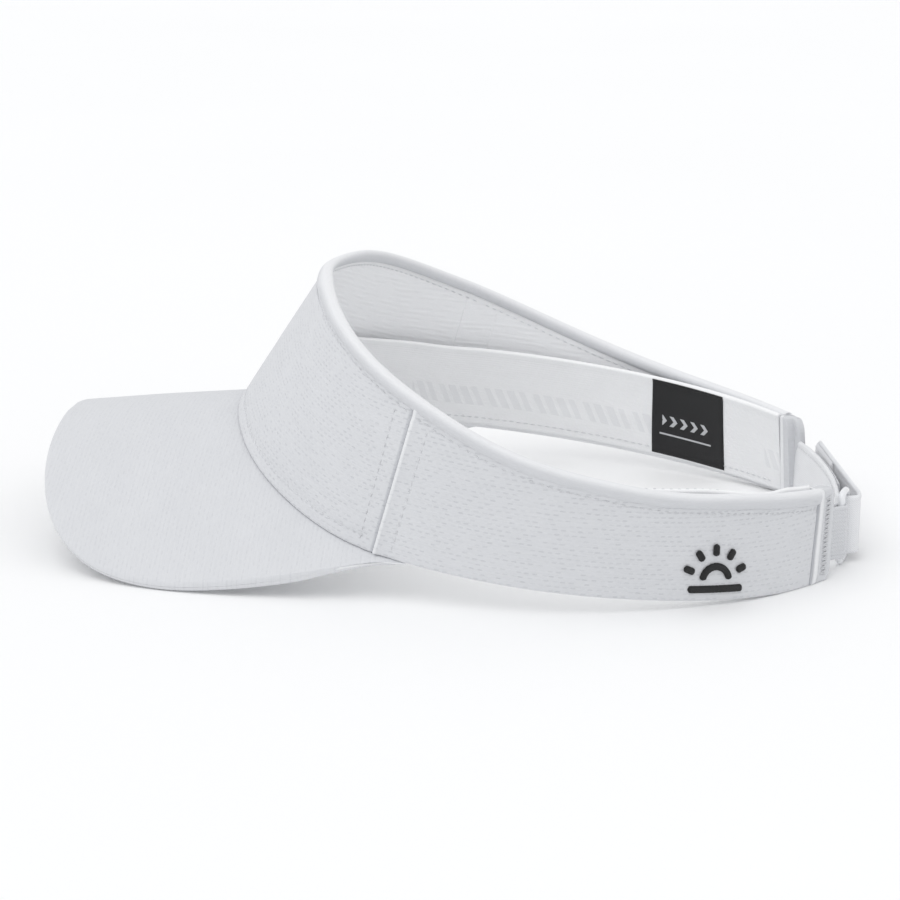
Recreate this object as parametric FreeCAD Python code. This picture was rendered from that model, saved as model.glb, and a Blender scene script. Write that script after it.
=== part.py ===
import FreeCAD, Part
import math
import os

# Adjustable sun visor: an open head band with a curved brim and a hook-and-loop strap at the back.
# Millimetres.  -Y is the wearer's front, +X the wearer's left, +Z up.
# The origin is on the surface the visor rests on, below the middle of its outline.

Vector = FreeCAD.Vector
Z_AXIS = Vector(0, 0, 1)

# ---- Head band: its outer face at the bottom edge is an ellipse, a little fuller in front ----
BAND_HALF_WIDTH = 87.3
BAND_HALF_LENGTH = 100.0
BAND_FRONT_FULLNESS = 0.04
BAND_CENTRE_Y = 30.0

# Height of the band and its inward lean, at 0, 45, 90, 135 and 180 degrees from the front
BAND_HEIGHTS = (53.0, 59.5, 39.5, 29.5, 28.0)
BAND_LEANS = (32.5, 16.0, -3.5, 4.5, 15.5)

# The wearer's left side is not quite the mirror of the right: its top edge rises, then drops
LEFT_RISE = 1.9
LEFT_RISE_ANGLES = (84.0, 106.0)
LEFT_FALL = 4.1
LEFT_FALL_ANGLES = (124.0, 162.0)

BRIM_CORNER_ANGLE = 68.7     # where the brim's rear corner meets the band
BRIM_CORNER_Z = 12.3
REST_ANGLE = 140.0           # behind this the bottom edge lies flat on the table
BOTTOM_EDGE_POWER = 1.42     # how the bottom edge curves down from the brim to the table

# Side seams and rear ends of the panels, in degrees at the bottom and at the top edge
SEAM_ANGLES = (63.3, 71.5)
LEFT_END_ANGLES = (145.6, 152.6)
RIGHT_END_ANGLES = (139.7, 140.8)

# ---- Cloth thicknesses, as depths below the outer face ----
FRONT_PANEL_DEPTH = 1.0
BUCKRAM_DEPTH = 1.5
SIDE_PANEL_DEPTH = 1.5
LINING_DEPTH = 2.1
TAPE_DEPTH = 2.7
SEAM_TAPE_WIDTH = 12.0

BINDING_HEIGHT = 6.0
BINDING_WALL = 0.9
BINDING_GAP = 0.45
BINDING_CROWN_INSET = 0.2
CLOTH_GAP = 0.15            # between sewn layers that are not lofted together

SWEATBAND_THICKNESS = 1.6
SWEATBAND_HEIGHT = 28.0
SWEATBAND_RAISE = 1.5        # its lower edge is sewn in this far above the band's edge
SWEATBAND_STANDOFFS = (3.5, 4.5, 6.0, 4.5, 3.2)    # depth of its top edge, at the same five angles
SWEATBAND_FOOT = 2.75
SWEATBAND_PEEK = 0.5         # it stands this far above the low rear of the band
SWEATBAND_FRONT_DIP = 4.5    # and is this much lower in front
SWEATBAND_DIP_ANGLES = (22.0, 56.0)

LABEL_ANGLES = (-107.0, -124.0)
LABEL_THICKNESS = 0.5
LABEL_SPAN = (0.03, 0.97)    # shares of the sweatband's height
EMBLEM_ANGLES = (117.4, 129.4)
EMBLEM_FROM_EDGE = 2.6
EMBLEM_HEIGHT = 16.5
EMBLEM_THICKNESS = 0.6

# ---- Brim ----
BRIM_LENGTH = 57.0           # from the band's front to the tip
BRIM_HALF_WIDTH = 80.9
BRIM_FLARE = 0.155
BRIM_SQUARENESS = 3.2
BRIM_CROWN_SLOPE = 0.043
BRIM_CROWN_DIP = 3.0         # extra fall of the crown line over 100 mm
BRIM_ARCH_DROP = 37.3        # fall of the brim at 90 mm from its centre line
BRIM_ARCH_POWER = 1.86
BRIM_ARCH_GAIN = 0.250       # the arch deepens by this share towards the tip
BRIM_COVER = 0.5
BRIM_BOARD = 1.8
BRIM_TUCK = 2.5              # the brim runs this far under the band
BRIM_BOARD_INSET = 1.4
BRIM_GAP = 0.05
BRIM_TUCK_DROP = 0.35        # the tuck lies this much lower, clear of the band's edge
BRIM_ROOT_ANGLE = 65.5       # last rib of the brim, just short of its corner
BRIM_END_SHARE = 0.97
BRIM_RIBS = 28

# ---- Folded tabs that close the panel ends ----
LEFT_TAB_ANGLES = (152.3, 158.5)
RIGHT_TAB_ANGLES = (145.2, 146.2)
TAB_PROUD = 0.3
TAB_DEPTH = 5.2
TAB_TOP_DROP = 0.4
TAB_TRIM = 0.02              # made this much too long, then cut flat where it rests
BARTACK_THICKNESS = 0.35
BARTACK_MARGIN = 2.5
BARTACK_SPAN = (0.25, 0.75)  # shares of the tab's width
TABLE_SIZE = 400.0
TABLE_DEPTH = 10.0

# ---- Closure, in plan from the centre of the band: x to the left, y to the back ----
STRAP_THICKNESS = 1.3
STRAP_Z = (2.6, 21.1)
STRAP_ROOT = (-53.0, 75.2)        # inner layer: an arc through three points, up to the ring
STRAP_MIDDLE = (-23.1, 85.0)
STRAP_INNER_END = (16.8, 90.0)

TAIL_FREE_END = (-51.0, 84.45)    # outer layer: straight, then bending round towards the ring
TAIL_BEND = (8.0, 95.6)
TAIL_NEAR_END = (20.0, 96.85)
PEEL_X = -15.0                    # the free end is lifted from here
JOINT_GAP = 0.3
PATCH_THICKNESS = 1.4
PATCH_MARGIN = 0.8
HOOK_PATCH_X = (-46.0, -21.0)
LOOP_PATCH_X = (-43.0, 4.0)

RING_Z = (0.1, 23.6)
RING_BAR_RADIUS = 1.1
RING_CORNER_RADIUS = 2.0
RING_ANCHOR = (25.6, 91.2)        # bar held by the webbing loop
RING_STRAP_BAR = (18.2, 92.8)     # bar that the strap turns round
FOLD_INNER_RADIUS = 1.9
FOLD_THICKNESS = 1.1
FOLD_HALF_TURN = 88.0

WEBBING_Z = (2.8, 19.6)
WEBBING_THICKNESS = 1.0
WEBBING_CLEARANCE = 0.12
WEBBING_ROOT = (35.0, 82.5)

STATION_STEP = 4.0                # degrees between loft sections
QUARTERS = (0, 0.25, 0.5, 0.75, 1)


# ---- Shape of the head band ----

def five_point(values, angle):
    """Smooth even curve round the band through values at 0, 45, 90, 135 and 180 degrees."""
    total = 0.0
    for harmonic in range(5):
        coefficient = 0.0
        for index, value in enumerate(values):
            weight = 0.5 if index in (0, 4) else 1.0
            coefficient += weight * value * math.cos(harmonic * index * math.pi / 4) / 2
        if harmonic in (0, 4):
            coefficient /= 2
        total += coefficient * math.cos(harmonic * math.radians(angle))
    return total


def band_plan(angle, offset=0.0):
    """Point of the band's bottom outline, moved outwards by offset."""
    t = math.radians(angle)
    full = 1 + BAND_FRONT_FULLNESS * math.cos(t)
    x = BAND_HALF_WIDTH * math.sin(t) * full
    y = BAND_CENTRE_Y - BAND_HALF_LENGTH * math.cos(t)
    normal = band_normal(angle)
    return Vector(x + normal.x * offset, y + normal.y * offset, 0)


def band_normal(angle):
    t = math.radians(angle)
    dx = BAND_HALF_WIDTH * (math.cos(t) + BAND_FRONT_FULLNESS * math.cos(2 * t))
    dy = BAND_HALF_LENGTH * math.sin(t)
    return Vector(dy, -dx, 0).normalize()


def smooth(value, start, end):
    """Rises smoothly from 0 at start to 1 at end."""
    share = min(1.0, max(0.0, (value - start) / (end - start)))
    return share * share * (3 - 2 * share)


def band_height(angle):
    height = five_point(BAND_HEIGHTS, angle)
    height += LEFT_RISE * smooth(angle, *LEFT_RISE_ANGLES)
    return height - LEFT_FALL * smooth(angle, *LEFT_FALL_ANGLES)


BRIM_CORNER = band_plan(BRIM_CORNER_ANGLE)
BRIM_REACH = BRIM_CORNER.y - (BAND_CENTRE_Y - BAND_HALF_LENGTH - BRIM_LENGTH)


def brim_arch(x):
    return BRIM_ARCH_DROP * abs(x / 90.0) ** BRIM_ARCH_POWER


def brim_z(x, y):
    """Height of the brim's upper face."""
    forward = BRIM_CORNER.y - y
    crown = BRIM_CORNER_Z + brim_arch(BRIM_CORNER.x)
    crown -= BRIM_CROWN_SLOPE * forward + BRIM_CROWN_DIP * (forward / 100.0) ** 2
    return crown - brim_arch(x) * (1 + BRIM_ARCH_GAIN * forward / BRIM_REACH)


def bottom_z(angle, point):
    """Height of the band's bottom edge: on the brim in front, curving down to the table behind."""
    away = abs(angle)
    if away < BRIM_CORNER_ANGLE:
        return brim_z(point.x, point.y)
    if away > REST_ANGLE:
        return 0.0
    share = (REST_ANGLE - away) / (REST_ANGLE - BRIM_CORNER_ANGLE)
    return BRIM_CORNER_Z * share ** BOTTOM_EDGE_POWER


def band_point(angle, up, depth):
    """Point up mm above the bottom edge, depth mm below the outer face."""
    return slanted_point((angle, angle), up, depth)


def slanted_point(angles, up, depth):
    """The same on a line that slants from one angle at the bottom edge to another at the top."""
    low, top = angles
    share = up / band_height(top)
    bottom = band_plan(low)
    bottom.z = bottom_z(low, bottom)
    lean = math.radians(five_point(BAND_LEANS, top))
    edge = band_plan(top)
    edge.z = bottom_z(top, edge)
    edge += (Z_AXIS * math.cos(lean) - band_normal(top) * math.sin(lean)) * band_height(top)
    inwards = (band_normal(low) + band_normal(top)).normalize() * -depth
    return bottom + (edge - bottom) * share + inwards


def stations(start, end):
    count = max(4, int(math.ceil(abs(end - start) / STATION_STEP)))
    return [index / count for index in range(count + 1)]


def between(pair, share):
    return pair[0] + (pair[1] - pair[0]) * share


def loft(sections, name):
    wires = [Part.makePolygon(points + [points[0]]) for points in sections]
    return keep(Part.makeLoft(wires, True, True), name)


def keep(shape, name):
    """Check a finished solid and write it."""
    solids = shape.Solids
    if len(solids) == 1:
        shape = solids[0]
    if not shape.isValid() or shape.Volume <= 0:
        print("BAD", name, shape.isValid(), round(shape.Volume, 2))
    shape.exportStep("parts/" + name + ".step")
    PIECES[name] = shape
    return shape


def cloth_shell(name, starts, ends, outer, inner, upper):
    """Shell of cloth between two slanting ends, from the bottom edge to a height upper(angle).

    starts and ends hold a bottom and a top angle; outer and inner are depths.
    """
    sections = []
    for share in stations(starts[0], ends[0]):
        angles = tuple(starts[i] + (ends[i] - starts[i]) * share for i in (0, 1))
        top = upper(angles[1])
        corners = [(0, outer), (0, inner), (top, inner), (top, outer)]
        sections.append([slanted_point(angles, up, depth) for up, depth in corners])
    return loft(sections, name)


def under_binding(angle):
    return band_height(angle) - BINDING_WALL - BINDING_GAP


def below_binding(angle):
    return band_height(angle) - BINDING_HEIGHT


def mirrored(angles):
    return (-angles[0], -angles[1])


# ---- Panels, stiffening, lining and tapes ----

def make_panels():
    front = (mirrored(SEAM_ANGLES), SEAM_ANGLES)
    left = (SEAM_ANGLES, LEFT_END_ANGLES)
    right = (mirrored(SEAM_ANGLES), mirrored(RIGHT_END_ANGLES))
    top = under_binding
    cloth_shell("front_panel", *front, 0, FRONT_PANEL_DEPTH, top)
    cloth_shell("front_buckram", *front, FRONT_PANEL_DEPTH, BUCKRAM_DEPTH, top)
    cloth_shell("front_lining", *front, BUCKRAM_DEPTH, LINING_DEPTH, top)
    cloth_shell("left_side_panel", *left, 0, SIDE_PANEL_DEPTH, top)
    cloth_shell("left_side_lining", *left, SIDE_PANEL_DEPTH, LINING_DEPTH, top)
    cloth_shell("right_side_panel", *right, 0, SIDE_PANEL_DEPTH, top)
    cloth_shell("right_side_lining", *right, SIDE_PANEL_DEPTH, LINING_DEPTH, top)


def make_seam_tapes():
    half = math.degrees(SEAM_TAPE_WIDTH / 2 / BAND_HALF_LENGTH)
    for side, name in ((1, "left_seam_tape"), (-1, "right_seam_tape")):
        start = tuple(side * (angle - half) for angle in SEAM_ANGLES)
        end = tuple(side * (angle + half) for angle in SEAM_ANGLES)
        cloth_shell(name, start, end, LINING_DEPTH + CLOTH_GAP, TAPE_DEPTH, below_binding)


def make_top_binding():
    """Folded strip over the top edge, an upside-down U in section."""
    sections = []
    starts, ends = mirrored(RIGHT_END_ANGLES), LEFT_END_ANGLES
    near = -BINDING_GAP
    outside = near - BINDING_WALL
    far = LINING_DEPTH + BINDING_GAP
    inside = far + BINDING_WALL
    for share in stations(starts[0], ends[0]):
        angles = tuple(between((starts[i], ends[i]), share) for i in (0, 1))
        top = band_height(angles[1])
        foot = top - BINDING_HEIGHT
        shoulder = top - 1.5 * BINDING_WALL
        crook = top - BINDING_WALL
        outline = [(foot, near), (foot, outside), (shoulder, outside), (top, BINDING_CROWN_INSET)]
        outline += [(top, LINING_DEPTH - BINDING_CROWN_INSET), (shoulder, inside), (foot, inside)]
        outline += [(foot, far), (crook, far), (crook, near)]
        sections.append([slanted_point(angles, up, depth) for up, depth in outline])
    loft(sections, "top_binding")


def sweatband_point(angles, share, depth):
    """Point of the sweatband's outer face, share of the way up, depth mm further in."""
    standoff = five_point(SWEATBAND_STANDOFFS, angles[1])
    lean_in = SWEATBAND_FOOT + (standoff - SWEATBAND_FOOT) * share
    dip = SWEATBAND_FRONT_DIP * (1 - smooth(abs(angles[1]), *SWEATBAND_DIP_ANGLES))
    top = min(SWEATBAND_RAISE + SWEATBAND_HEIGHT - dip, band_height(angles[1]) + SWEATBAND_PEEK)
    up = SWEATBAND_RAISE + (top - SWEATBAND_RAISE) * share
    return slanted_point(angles, up, lean_in + depth)


def make_sweatband():
    sections = []
    starts, ends = mirrored(RIGHT_END_ANGLES), LEFT_END_ANGLES
    corners = [(0, 0), (0, SWEATBAND_THICKNESS), (1, SWEATBAND_THICKNESS), (1, 0)]
    for share in stations(starts[0], ends[0]):
        angles = tuple(between((starts[i], ends[i]), share) for i in (0, 1))
        sections.append([sweatband_point(angles, up, depth) for up, depth in corners])
    loft(sections, "sweatband")


def make_woven_label():
    sections = []
    face = SWEATBAND_THICKNESS + CLOTH_GAP
    low, high = LABEL_SPAN
    for share in QUARTERS:
        angle = between(LABEL_ANGLES, share)
        corners = [(low, face), (low, face + LABEL_THICKNESS)]
        corners += [(high, face + LABEL_THICKNESS), (high, face)]
        sections.append([sweatband_point((angle, angle), up, depth) for up, depth in corners])
    loft(sections, "woven_label")


def make_emblem():
    sections = []
    low, high = EMBLEM_FROM_EDGE, EMBLEM_FROM_EDGE + EMBLEM_HEIGHT
    for share in QUARTERS:
        angle = between(EMBLEM_ANGLES, share)
        corners = [(low, -EMBLEM_THICKNESS), (low, 0), (high, 0), (high, -EMBLEM_THICKNESS)]
        sections.append([band_point(angle, up, depth) for up, depth in corners])
    loft(sections, "embroidered_emblem")


# ---- Brim ----

def brim_outline(share):
    """Point of the brim's edge; share runs from -1 at the right corner to 1 at the left one."""
    t = math.radians(90 * (1 - abs(share) * BRIM_END_SHARE))
    power = 2 / BRIM_SQUARENESS
    along = math.sin(t) ** power
    x = BRIM_HALF_WIDTH * math.cos(t) ** power * (1 + BRIM_FLARE * along)
    y = BRIM_CORNER.y - BRIM_REACH * along
    return Vector(math.copysign(x, share), y, 0)


def on_brim(point, drop):
    return Vector(point.x, point.y, brim_z(point.x, point.y) - BRIM_GAP - drop)


def brim_rib(share, upper, inner_lower):
    """One section across the brim, from under the band to the edge, in an upright plane.

    upper and inner_lower are lists of (place, drop): place is 0 at the root under the band,
    1 at the band's face, 2 halfway, 3 at the board's edge and 4 at the brim's own edge.
    """
    root = band_plan(share * BRIM_ROOT_ANGLE)
    edge = brim_outline(share)
    outwards = (edge - root).normalize()
    board_edge = edge - outwards * BRIM_BOARD_INSET
    places = [root - outwards * BRIM_TUCK, root, (root + board_edge) * 0.5, board_edge, edge]
    points = []
    for place, drop in upper + inner_lower:
        point = on_brim(places[place], drop)
        if place < 2:
            point.z = on_brim(root, drop).z - BRIM_TUCK_DROP
        points.append(point)
    return points


def brim_layer(name, upper, lower):
    sections = []
    for index in range(BRIM_RIBS + 1):
        share = -1 + 2 * index / BRIM_RIBS
        sections.append(brim_rib(share, upper, lower))
    loft(sections, name)


def make_brim():
    top = BRIM_COVER
    base = BRIM_COVER + BRIM_BOARD
    under = base + BRIM_COVER
    middle = under / 2
    brim_layer("brim_board", [(place, top) for place in (0, 1, 2, 3)],
               [(place, base) for place in (3, 2, 1, 0)])
    brim_layer("brim_top_cover", [(place, 0) for place in (0, 1, 2, 3, 4)],
               [(4, middle), (3, middle), (3, top), (2, top), (1, top), (0, top)])
    brim_layer("brim_under_cover",
               [(0, base), (1, base), (2, base), (3, base), (3, middle), (4, middle)],
               [(place, under) for place in (4, 3, 2, 1, 0)])


# ---- Panel end tabs ----

def make_end_tab(name, starts, ends):
    """Cloth folded over the end of a panel and its sweatband, sewn shut."""
    sections = []
    for share in (0, 0.5, 1):
        angles = tuple(between((starts[i], ends[i]), share) for i in (0, 1))
        top = band_height(angles[1]) - TAB_TOP_DROP
        corners = [(-TAB_TRIM, -TAB_PROUD), (-TAB_TRIM, TAB_DEPTH), (top, TAB_DEPTH), (top, -TAB_PROUD)]
        sections.append([slanted_point(angles, up, depth) for up, depth in corners])
    wires = [Part.makePolygon(points + [points[0]]) for points in sections]
    corner = Vector(-TABLE_SIZE / 2, -TABLE_SIZE / 2, -TABLE_DEPTH)
    below = Part.makeBox(TABLE_SIZE, TABLE_SIZE, TABLE_DEPTH, corner)
    return keep(Part.makeLoft(wires, True, True).cut(below), name)


def make_bartack(name, starts, ends):
    """Close zigzag of thread down the middle of a tab."""
    sections = []
    inner = -TAB_PROUD - CLOTH_GAP
    outer = inner - BARTACK_THICKNESS
    for share in BARTACK_SPAN:
        angles = tuple(between((starts[i], ends[i]), share) for i in (0, 1))
        top = band_height(angles[1]) - TAB_TOP_DROP - BARTACK_MARGIN
        corners = [(BARTACK_MARGIN, outer), (BARTACK_MARGIN, inner), (top, inner), (top, outer)]
        sections.append([slanted_point(angles, up, depth) for up, depth in corners])
    loft(sections, name)


# ---- Closure ----

def plan_point(pair):
    return Vector(pair[0], BAND_CENTRE_Y + pair[1], 0)


def upright(edges, z_range):
    """Extrude a closed outline, given as edges in plan, between two heights."""
    face = Part.Face(Part.Wire(Part.__sortEdges__(edges)))
    face.translate(Z_AXIS * z_range[0])
    return face.extrude(Z_AXIS * (z_range[1] - z_range[0]))


def keep_largest(shape, name):
    return keep(max(shape.Solids, key=lambda solid: solid.Volume), name)


def line(start, end):
    return Part.LineSegment(start, end).toShape()


def arc(start, middle, end):
    return Part.Arc(start, middle, end).toShape()


class PlanArc:
    """Arc through three plan points, with points offset to its outer side."""

    def __init__(self, start, middle, end):
        circle = arc(plan_point(start), plan_point(middle), plan_point(end)).Curve
        self.centre = circle.Center
        self.radius = circle.Radius

    def at_x(self, x, offset=0.0):
        y = self.centre.y + math.sqrt(self.radius ** 2 - (x - self.centre.x) ** 2)
        point = Vector(x, y, 0)
        return point + (point - self.centre).normalize() * offset

    def strip(self, x_range, low, high, z_range):
        start, end = x_range
        middle = (start + end) / 2
        near = [self.at_x(x, low) for x in (start, middle, end)]
        far = [self.at_x(x, high) for x in (start, middle, end)]
        edges = [arc(*near), line(near[2], far[2]), arc(*far), line(far[0], near[0])]
        return upright(edges, z_range)


def shrunk(z_range, margin):
    return (z_range[0] + margin, z_range[1] - margin)


def make_strap_inner(tab):
    layer = PlanArc(STRAP_ROOT, STRAP_MIDDLE, STRAP_INNER_END)
    half = STRAP_THICKNESS / 2
    strap = layer.strip((STRAP_ROOT[0], STRAP_INNER_END[0]), -half, half, STRAP_Z)
    keep_largest(strap.cut(tab), "strap_inner")
    patch_z = shrunk(STRAP_Z, PATCH_MARGIN)
    keep(layer.strip(LOOP_PATCH_X, half, half + PATCH_THICKNESS, patch_z), "loop_patch")


def make_strap_fold():
    """The turn of the strap round the ring's bar."""
    centre = plan_point(RING_STRAP_BAR)
    radii = (FOLD_INNER_RADIUS, FOLD_INNER_RADIUS + FOLD_THICKNESS)

    def at(radius, degrees):
        t = math.radians(degrees)
        return centre + Vector(math.cos(t), math.sin(t), 0) * radius

    turns = (-FOLD_HALF_TURN, 0, FOLD_HALF_TURN)
    inner = [at(radii[0], degrees) for degrees in turns]
    outer = [at(radii[1], degrees) for degrees in turns]
    edges = [arc(*inner), line(inner[2], outer[2]), arc(*outer), line(outer[0], inner[0])]
    keep(upright(edges, STRAP_Z), "strap_fold")


def tail_direction():
    return (plan_point(TAIL_FREE_END) - plan_point(TAIL_BEND)).normalize()


def tail_line(x, offset):
    """Point of the straight outer layer, offset outwards."""
    along = tail_direction()
    outwards = Vector(along.y, -along.x, 0)
    start = plan_point(TAIL_BEND)
    return start + along * ((x - start.x) / along.x) + outwards * offset


def tail_block(x_range, low, high, z_range):
    near = [tail_line(x, low) for x in x_range]
    far = [tail_line(x, high) for x in x_range]
    edges = [line(near[0], near[1]), line(near[1], far[1]), line(far[1], far[0]),
             line(far[0], near[0])]
    return upright(edges, z_range)


def make_strap_outer():
    half = STRAP_THICKNESS / 2
    tab_x = (TAIL_FREE_END[0], PEEL_X - JOINT_GAP)
    keep(tail_block(tab_x, -half, half, STRAP_Z), "strap_tab")
    patch_z = shrunk(STRAP_Z, PATCH_MARGIN)
    keep(tail_block(HOOK_PATCH_X, -half - PATCH_THICKNESS, -half, patch_z), "hook_patch")

    # The tail: a straight run, then an arc that starts along it and ends over the ring.
    bend = plan_point(TAIL_BEND)
    end = plan_point(TAIL_NEAR_END)
    along = tail_direction() * -1
    side = Vector(along.y, -along.x, 0)
    chord = end - bend
    radius = chord.Length ** 2 / (2 * chord.dot(side))
    centre = bend + side * radius

    def on_arc(share, offset):
        start_ray = bend - centre
        end_ray = end - centre
        ray = start_ray * (1 - share) + end_ray * share
        return centre + ray.normalize() * (radius + offset)

    inner = [on_arc(share, -half) for share in (0, 0.5, 1)]
    outer = [on_arc(share, half) for share in (0, 0.5, 1)]
    start_inner = tail_line(PEEL_X, -half)
    start_outer = tail_line(PEEL_X, half)
    edges = [line(start_inner, inner[0]), arc(*inner), line(inner[2], outer[2]),
             arc(*outer), line(outer[0], start_outer), line(start_outer, start_inner)]
    keep(upright(edges, STRAP_Z), "strap_tail")


def make_webbing_loop(tab):
    """Webbing folded round the ring's bar and sewn into the left tab."""
    root = plan_point(WEBBING_ROOT)
    bar = plan_point(RING_ANCHOR)
    along = (bar - root).normalize()
    side = Vector(-along.y, along.x, 0)
    hole = RING_BAR_RADIUS + WEBBING_CLEARANCE
    wrap = hole + WEBBING_THICKNESS
    corners = [root + side * WEBBING_THICKNESS, bar + side * wrap]
    corners += [bar - side * wrap, root - side * WEBBING_THICKNESS]
    edges = [line(corners[0], corners[1]), arc(corners[1], bar + along * wrap, corners[2]),
             line(corners[2], corners[3]), line(corners[3], corners[0])]
    height = WEBBING_Z[1] - WEBBING_Z[0]
    bar_hole = Part.makeCylinder(hole, height, bar + Z_AXIS * WEBBING_Z[0], Z_AXIS)
    keep_largest(upright(edges, WEBBING_Z).cut(bar_hole).cut(tab), "webbing_loop")


def make_ring():
    """Moulded rectangular ring: a round bar along a rounded rectangle standing upright."""
    r = RING_CORNER_RADIUS
    low = RING_Z[0] + RING_BAR_RADIUS
    high = RING_Z[1] - RING_BAR_RADIUS
    anchor = plan_point(RING_ANCHOR)
    span = plan_point(RING_STRAP_BAR) - anchor
    length = span.Length
    along = span.normalize()

    def at(distance, z):
        return anchor + along * distance + Z_AXIS * z

    diagonal = r * (1 - math.sqrt(0.5))
    path = []
    corners = ((0, low, 1, 1), (length, low, -1, 1), (length, high, -1, -1), (0, high, 1, -1))
    starts, ends = [], []
    for distance, z, into, up in corners:
        on_upright = at(distance, z + up * r)
        on_level = at(distance + into * r, z)
        middle = at(distance + into * diagonal, z + up * diagonal)
        path.append(arc(on_upright, middle, on_level))
        starts.append(on_upright)
        ends.append(on_level)
    path.append(line(ends[0], ends[1]))
    path.append(line(starts[1], starts[2]))
    path.append(line(ends[2], ends[3]))
    path.append(line(starts[3], starts[0]))
    spine = Part.Wire(Part.__sortEdges__(path))
    profile = Part.Wire(Part.makeCircle(RING_BAR_RADIUS, starts[0], Z_AXIS))
    keep(spine.makePipeShell([profile], True, True), "slide_ring")


os.makedirs("parts", exist_ok=True)
PIECES = {}
make_panels()
make_seam_tapes()
make_top_binding()
make_sweatband()
make_woven_label()
make_emblem()
make_brim()
left_tab = make_end_tab("left_end_tab", LEFT_END_ANGLES, LEFT_TAB_ANGLES)
right_tab = make_end_tab("right_end_tab", mirrored(RIGHT_END_ANGLES), mirrored(RIGHT_TAB_ANGLES))
make_bartack("left_bartack", LEFT_END_ANGLES, LEFT_TAB_ANGLES)
make_bartack("right_bartack", mirrored(RIGHT_END_ANGLES), mirrored(RIGHT_TAB_ANGLES))
make_strap_inner(right_tab)
make_strap_fold()
make_strap_outer()
make_webbing_loop(left_tab)
make_ring()

whole = Part.makeCompound(list(PIECES.values()))
box = whole.BoundBox
print("box", round(box.XMin, 2), round(box.XMax, 2), round(box.YMin, 2), round(box.YMax, 2),
      round(box.ZMin, 2), round(box.ZMax, 2))
for name, shape in PIECES.items():
    print(name, round(shape.Volume), shape.isValid(), round(shape.BoundBox.ZMin, 2))
print("peel axis", tail_line(PEEL_X, 0), "slide axis", tail_direction())
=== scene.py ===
import math
from functools import lru_cache

import bmesh
import bpy
from mathutils import Matrix, Vector, noise


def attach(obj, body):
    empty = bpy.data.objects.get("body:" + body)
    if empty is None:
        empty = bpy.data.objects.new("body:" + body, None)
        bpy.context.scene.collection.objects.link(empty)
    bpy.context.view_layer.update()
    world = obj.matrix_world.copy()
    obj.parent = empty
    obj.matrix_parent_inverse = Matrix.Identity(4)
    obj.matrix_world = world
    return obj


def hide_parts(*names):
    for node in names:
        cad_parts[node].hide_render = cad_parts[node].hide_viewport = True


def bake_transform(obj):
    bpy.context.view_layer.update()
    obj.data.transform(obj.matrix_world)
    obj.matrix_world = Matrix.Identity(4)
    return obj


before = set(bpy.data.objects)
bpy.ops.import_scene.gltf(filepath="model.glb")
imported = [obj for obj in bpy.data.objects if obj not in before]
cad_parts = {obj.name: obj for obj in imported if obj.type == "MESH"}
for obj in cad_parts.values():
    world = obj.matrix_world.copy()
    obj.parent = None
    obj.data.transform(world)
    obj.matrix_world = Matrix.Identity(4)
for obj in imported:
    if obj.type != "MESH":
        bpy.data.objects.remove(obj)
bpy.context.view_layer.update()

# Sun visor: cloth, stitching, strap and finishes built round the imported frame.
# Metres and degrees.  -Y is the wearer's front, +X the wearer's left, +Z up.

# ---- The head band's shape, as the frame has it ----
BAND_HALF_WIDTH = 0.0873
BAND_HALF_LENGTH = 0.100
BAND_FRONT_FULLNESS = 0.04
BAND_CENTRE_Y = 0.030
BAND_HEIGHTS = (0.053, 0.0595, 0.0395, 0.0295, 0.028)     # at 0, 45, 90, 135 and 180 degrees
BAND_LEANS = (32.5, 16.0, -3.5, 4.5, 15.5)
LEFT_RISE = 0.0019               # the wearer's left side rises, then drops towards its end
LEFT_RISE_ANGLES = (84.0, 106.0)
LEFT_FALL = 0.0041
LEFT_FALL_ANGLES = (124.0, 162.0)
BRIM_CORNER_ANGLE = 68.7
BRIM_CORNER_Z = 0.0123
REST_ANGLE = 140.0
BOTTOM_EDGE_POWER = 1.42
SEAM_ANGLES = (63.3, 71.5)
LEFT_END_ANGLES = (145.6, 152.6)
RIGHT_END_ANGLES = (139.7, 140.8)

# ---- Cloth: depths below the band's outer face ----
FRONT_PANEL_DEPTH = 0.0010
BUCKRAM_DEPTH = 0.0015
SIDE_PANEL_DEPTH = 0.0015
LINING_DEPTH = 0.0021
TAPE_STEP = 0.00014              # the seam tape stands this proud of the lining
TAPE_SINK = 0.0002
TAPE_DROP = 0.006
SEAM_TAPE_WIDTH = 0.012
UNDER_BINDING = 0.00115          # the panels stop this far below the top edge

HEM_HEIGHT = 0.0046
HEM_HALF_THICKNESS = 0.0022
HEM_FOOT_ANGLE = 150.0
HEM_STEPS = 18
HEM_PINCH = 0.00009
HEM_SOFTNESS = 0.00020
HEM_SKIN = 0.00012
HEM_TUCK = 0.0006
HEM_CROOK = (0.0009, 0.0040, 0.0012)      # its turned-in edges, below the top edge
HEM_ROW = 0.0057                 # stitch rows: below the top edge,
BRIM_ROW = 0.0042                # above the brim
SEAM_ROW = 0.0055                # and beside the side seams

SWEATBAND_THICKNESS = 0.0016
SWEATBAND_HEIGHT = 0.028
SWEATBAND_RAISE = 0.0015
SWEATBAND_STANDOFFS = (0.0035, 0.0045, 0.0060, 0.0045, 0.0032)
SWEATBAND_FOOT = 0.00275
SWEATBAND_PEEK = 0.0005
PEEK_LEFT = 0.0030               # it rides up this much on the wearer's left
PEEK_LEFT_ANGLES = (84.0, 98.0, 120.0, 138.0)
SWEATBAND_FRONT_DIP = 0.0045     # and is this much lower in front
SWEATBAND_DIP_ANGLES = (22.0, 56.0)

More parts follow.
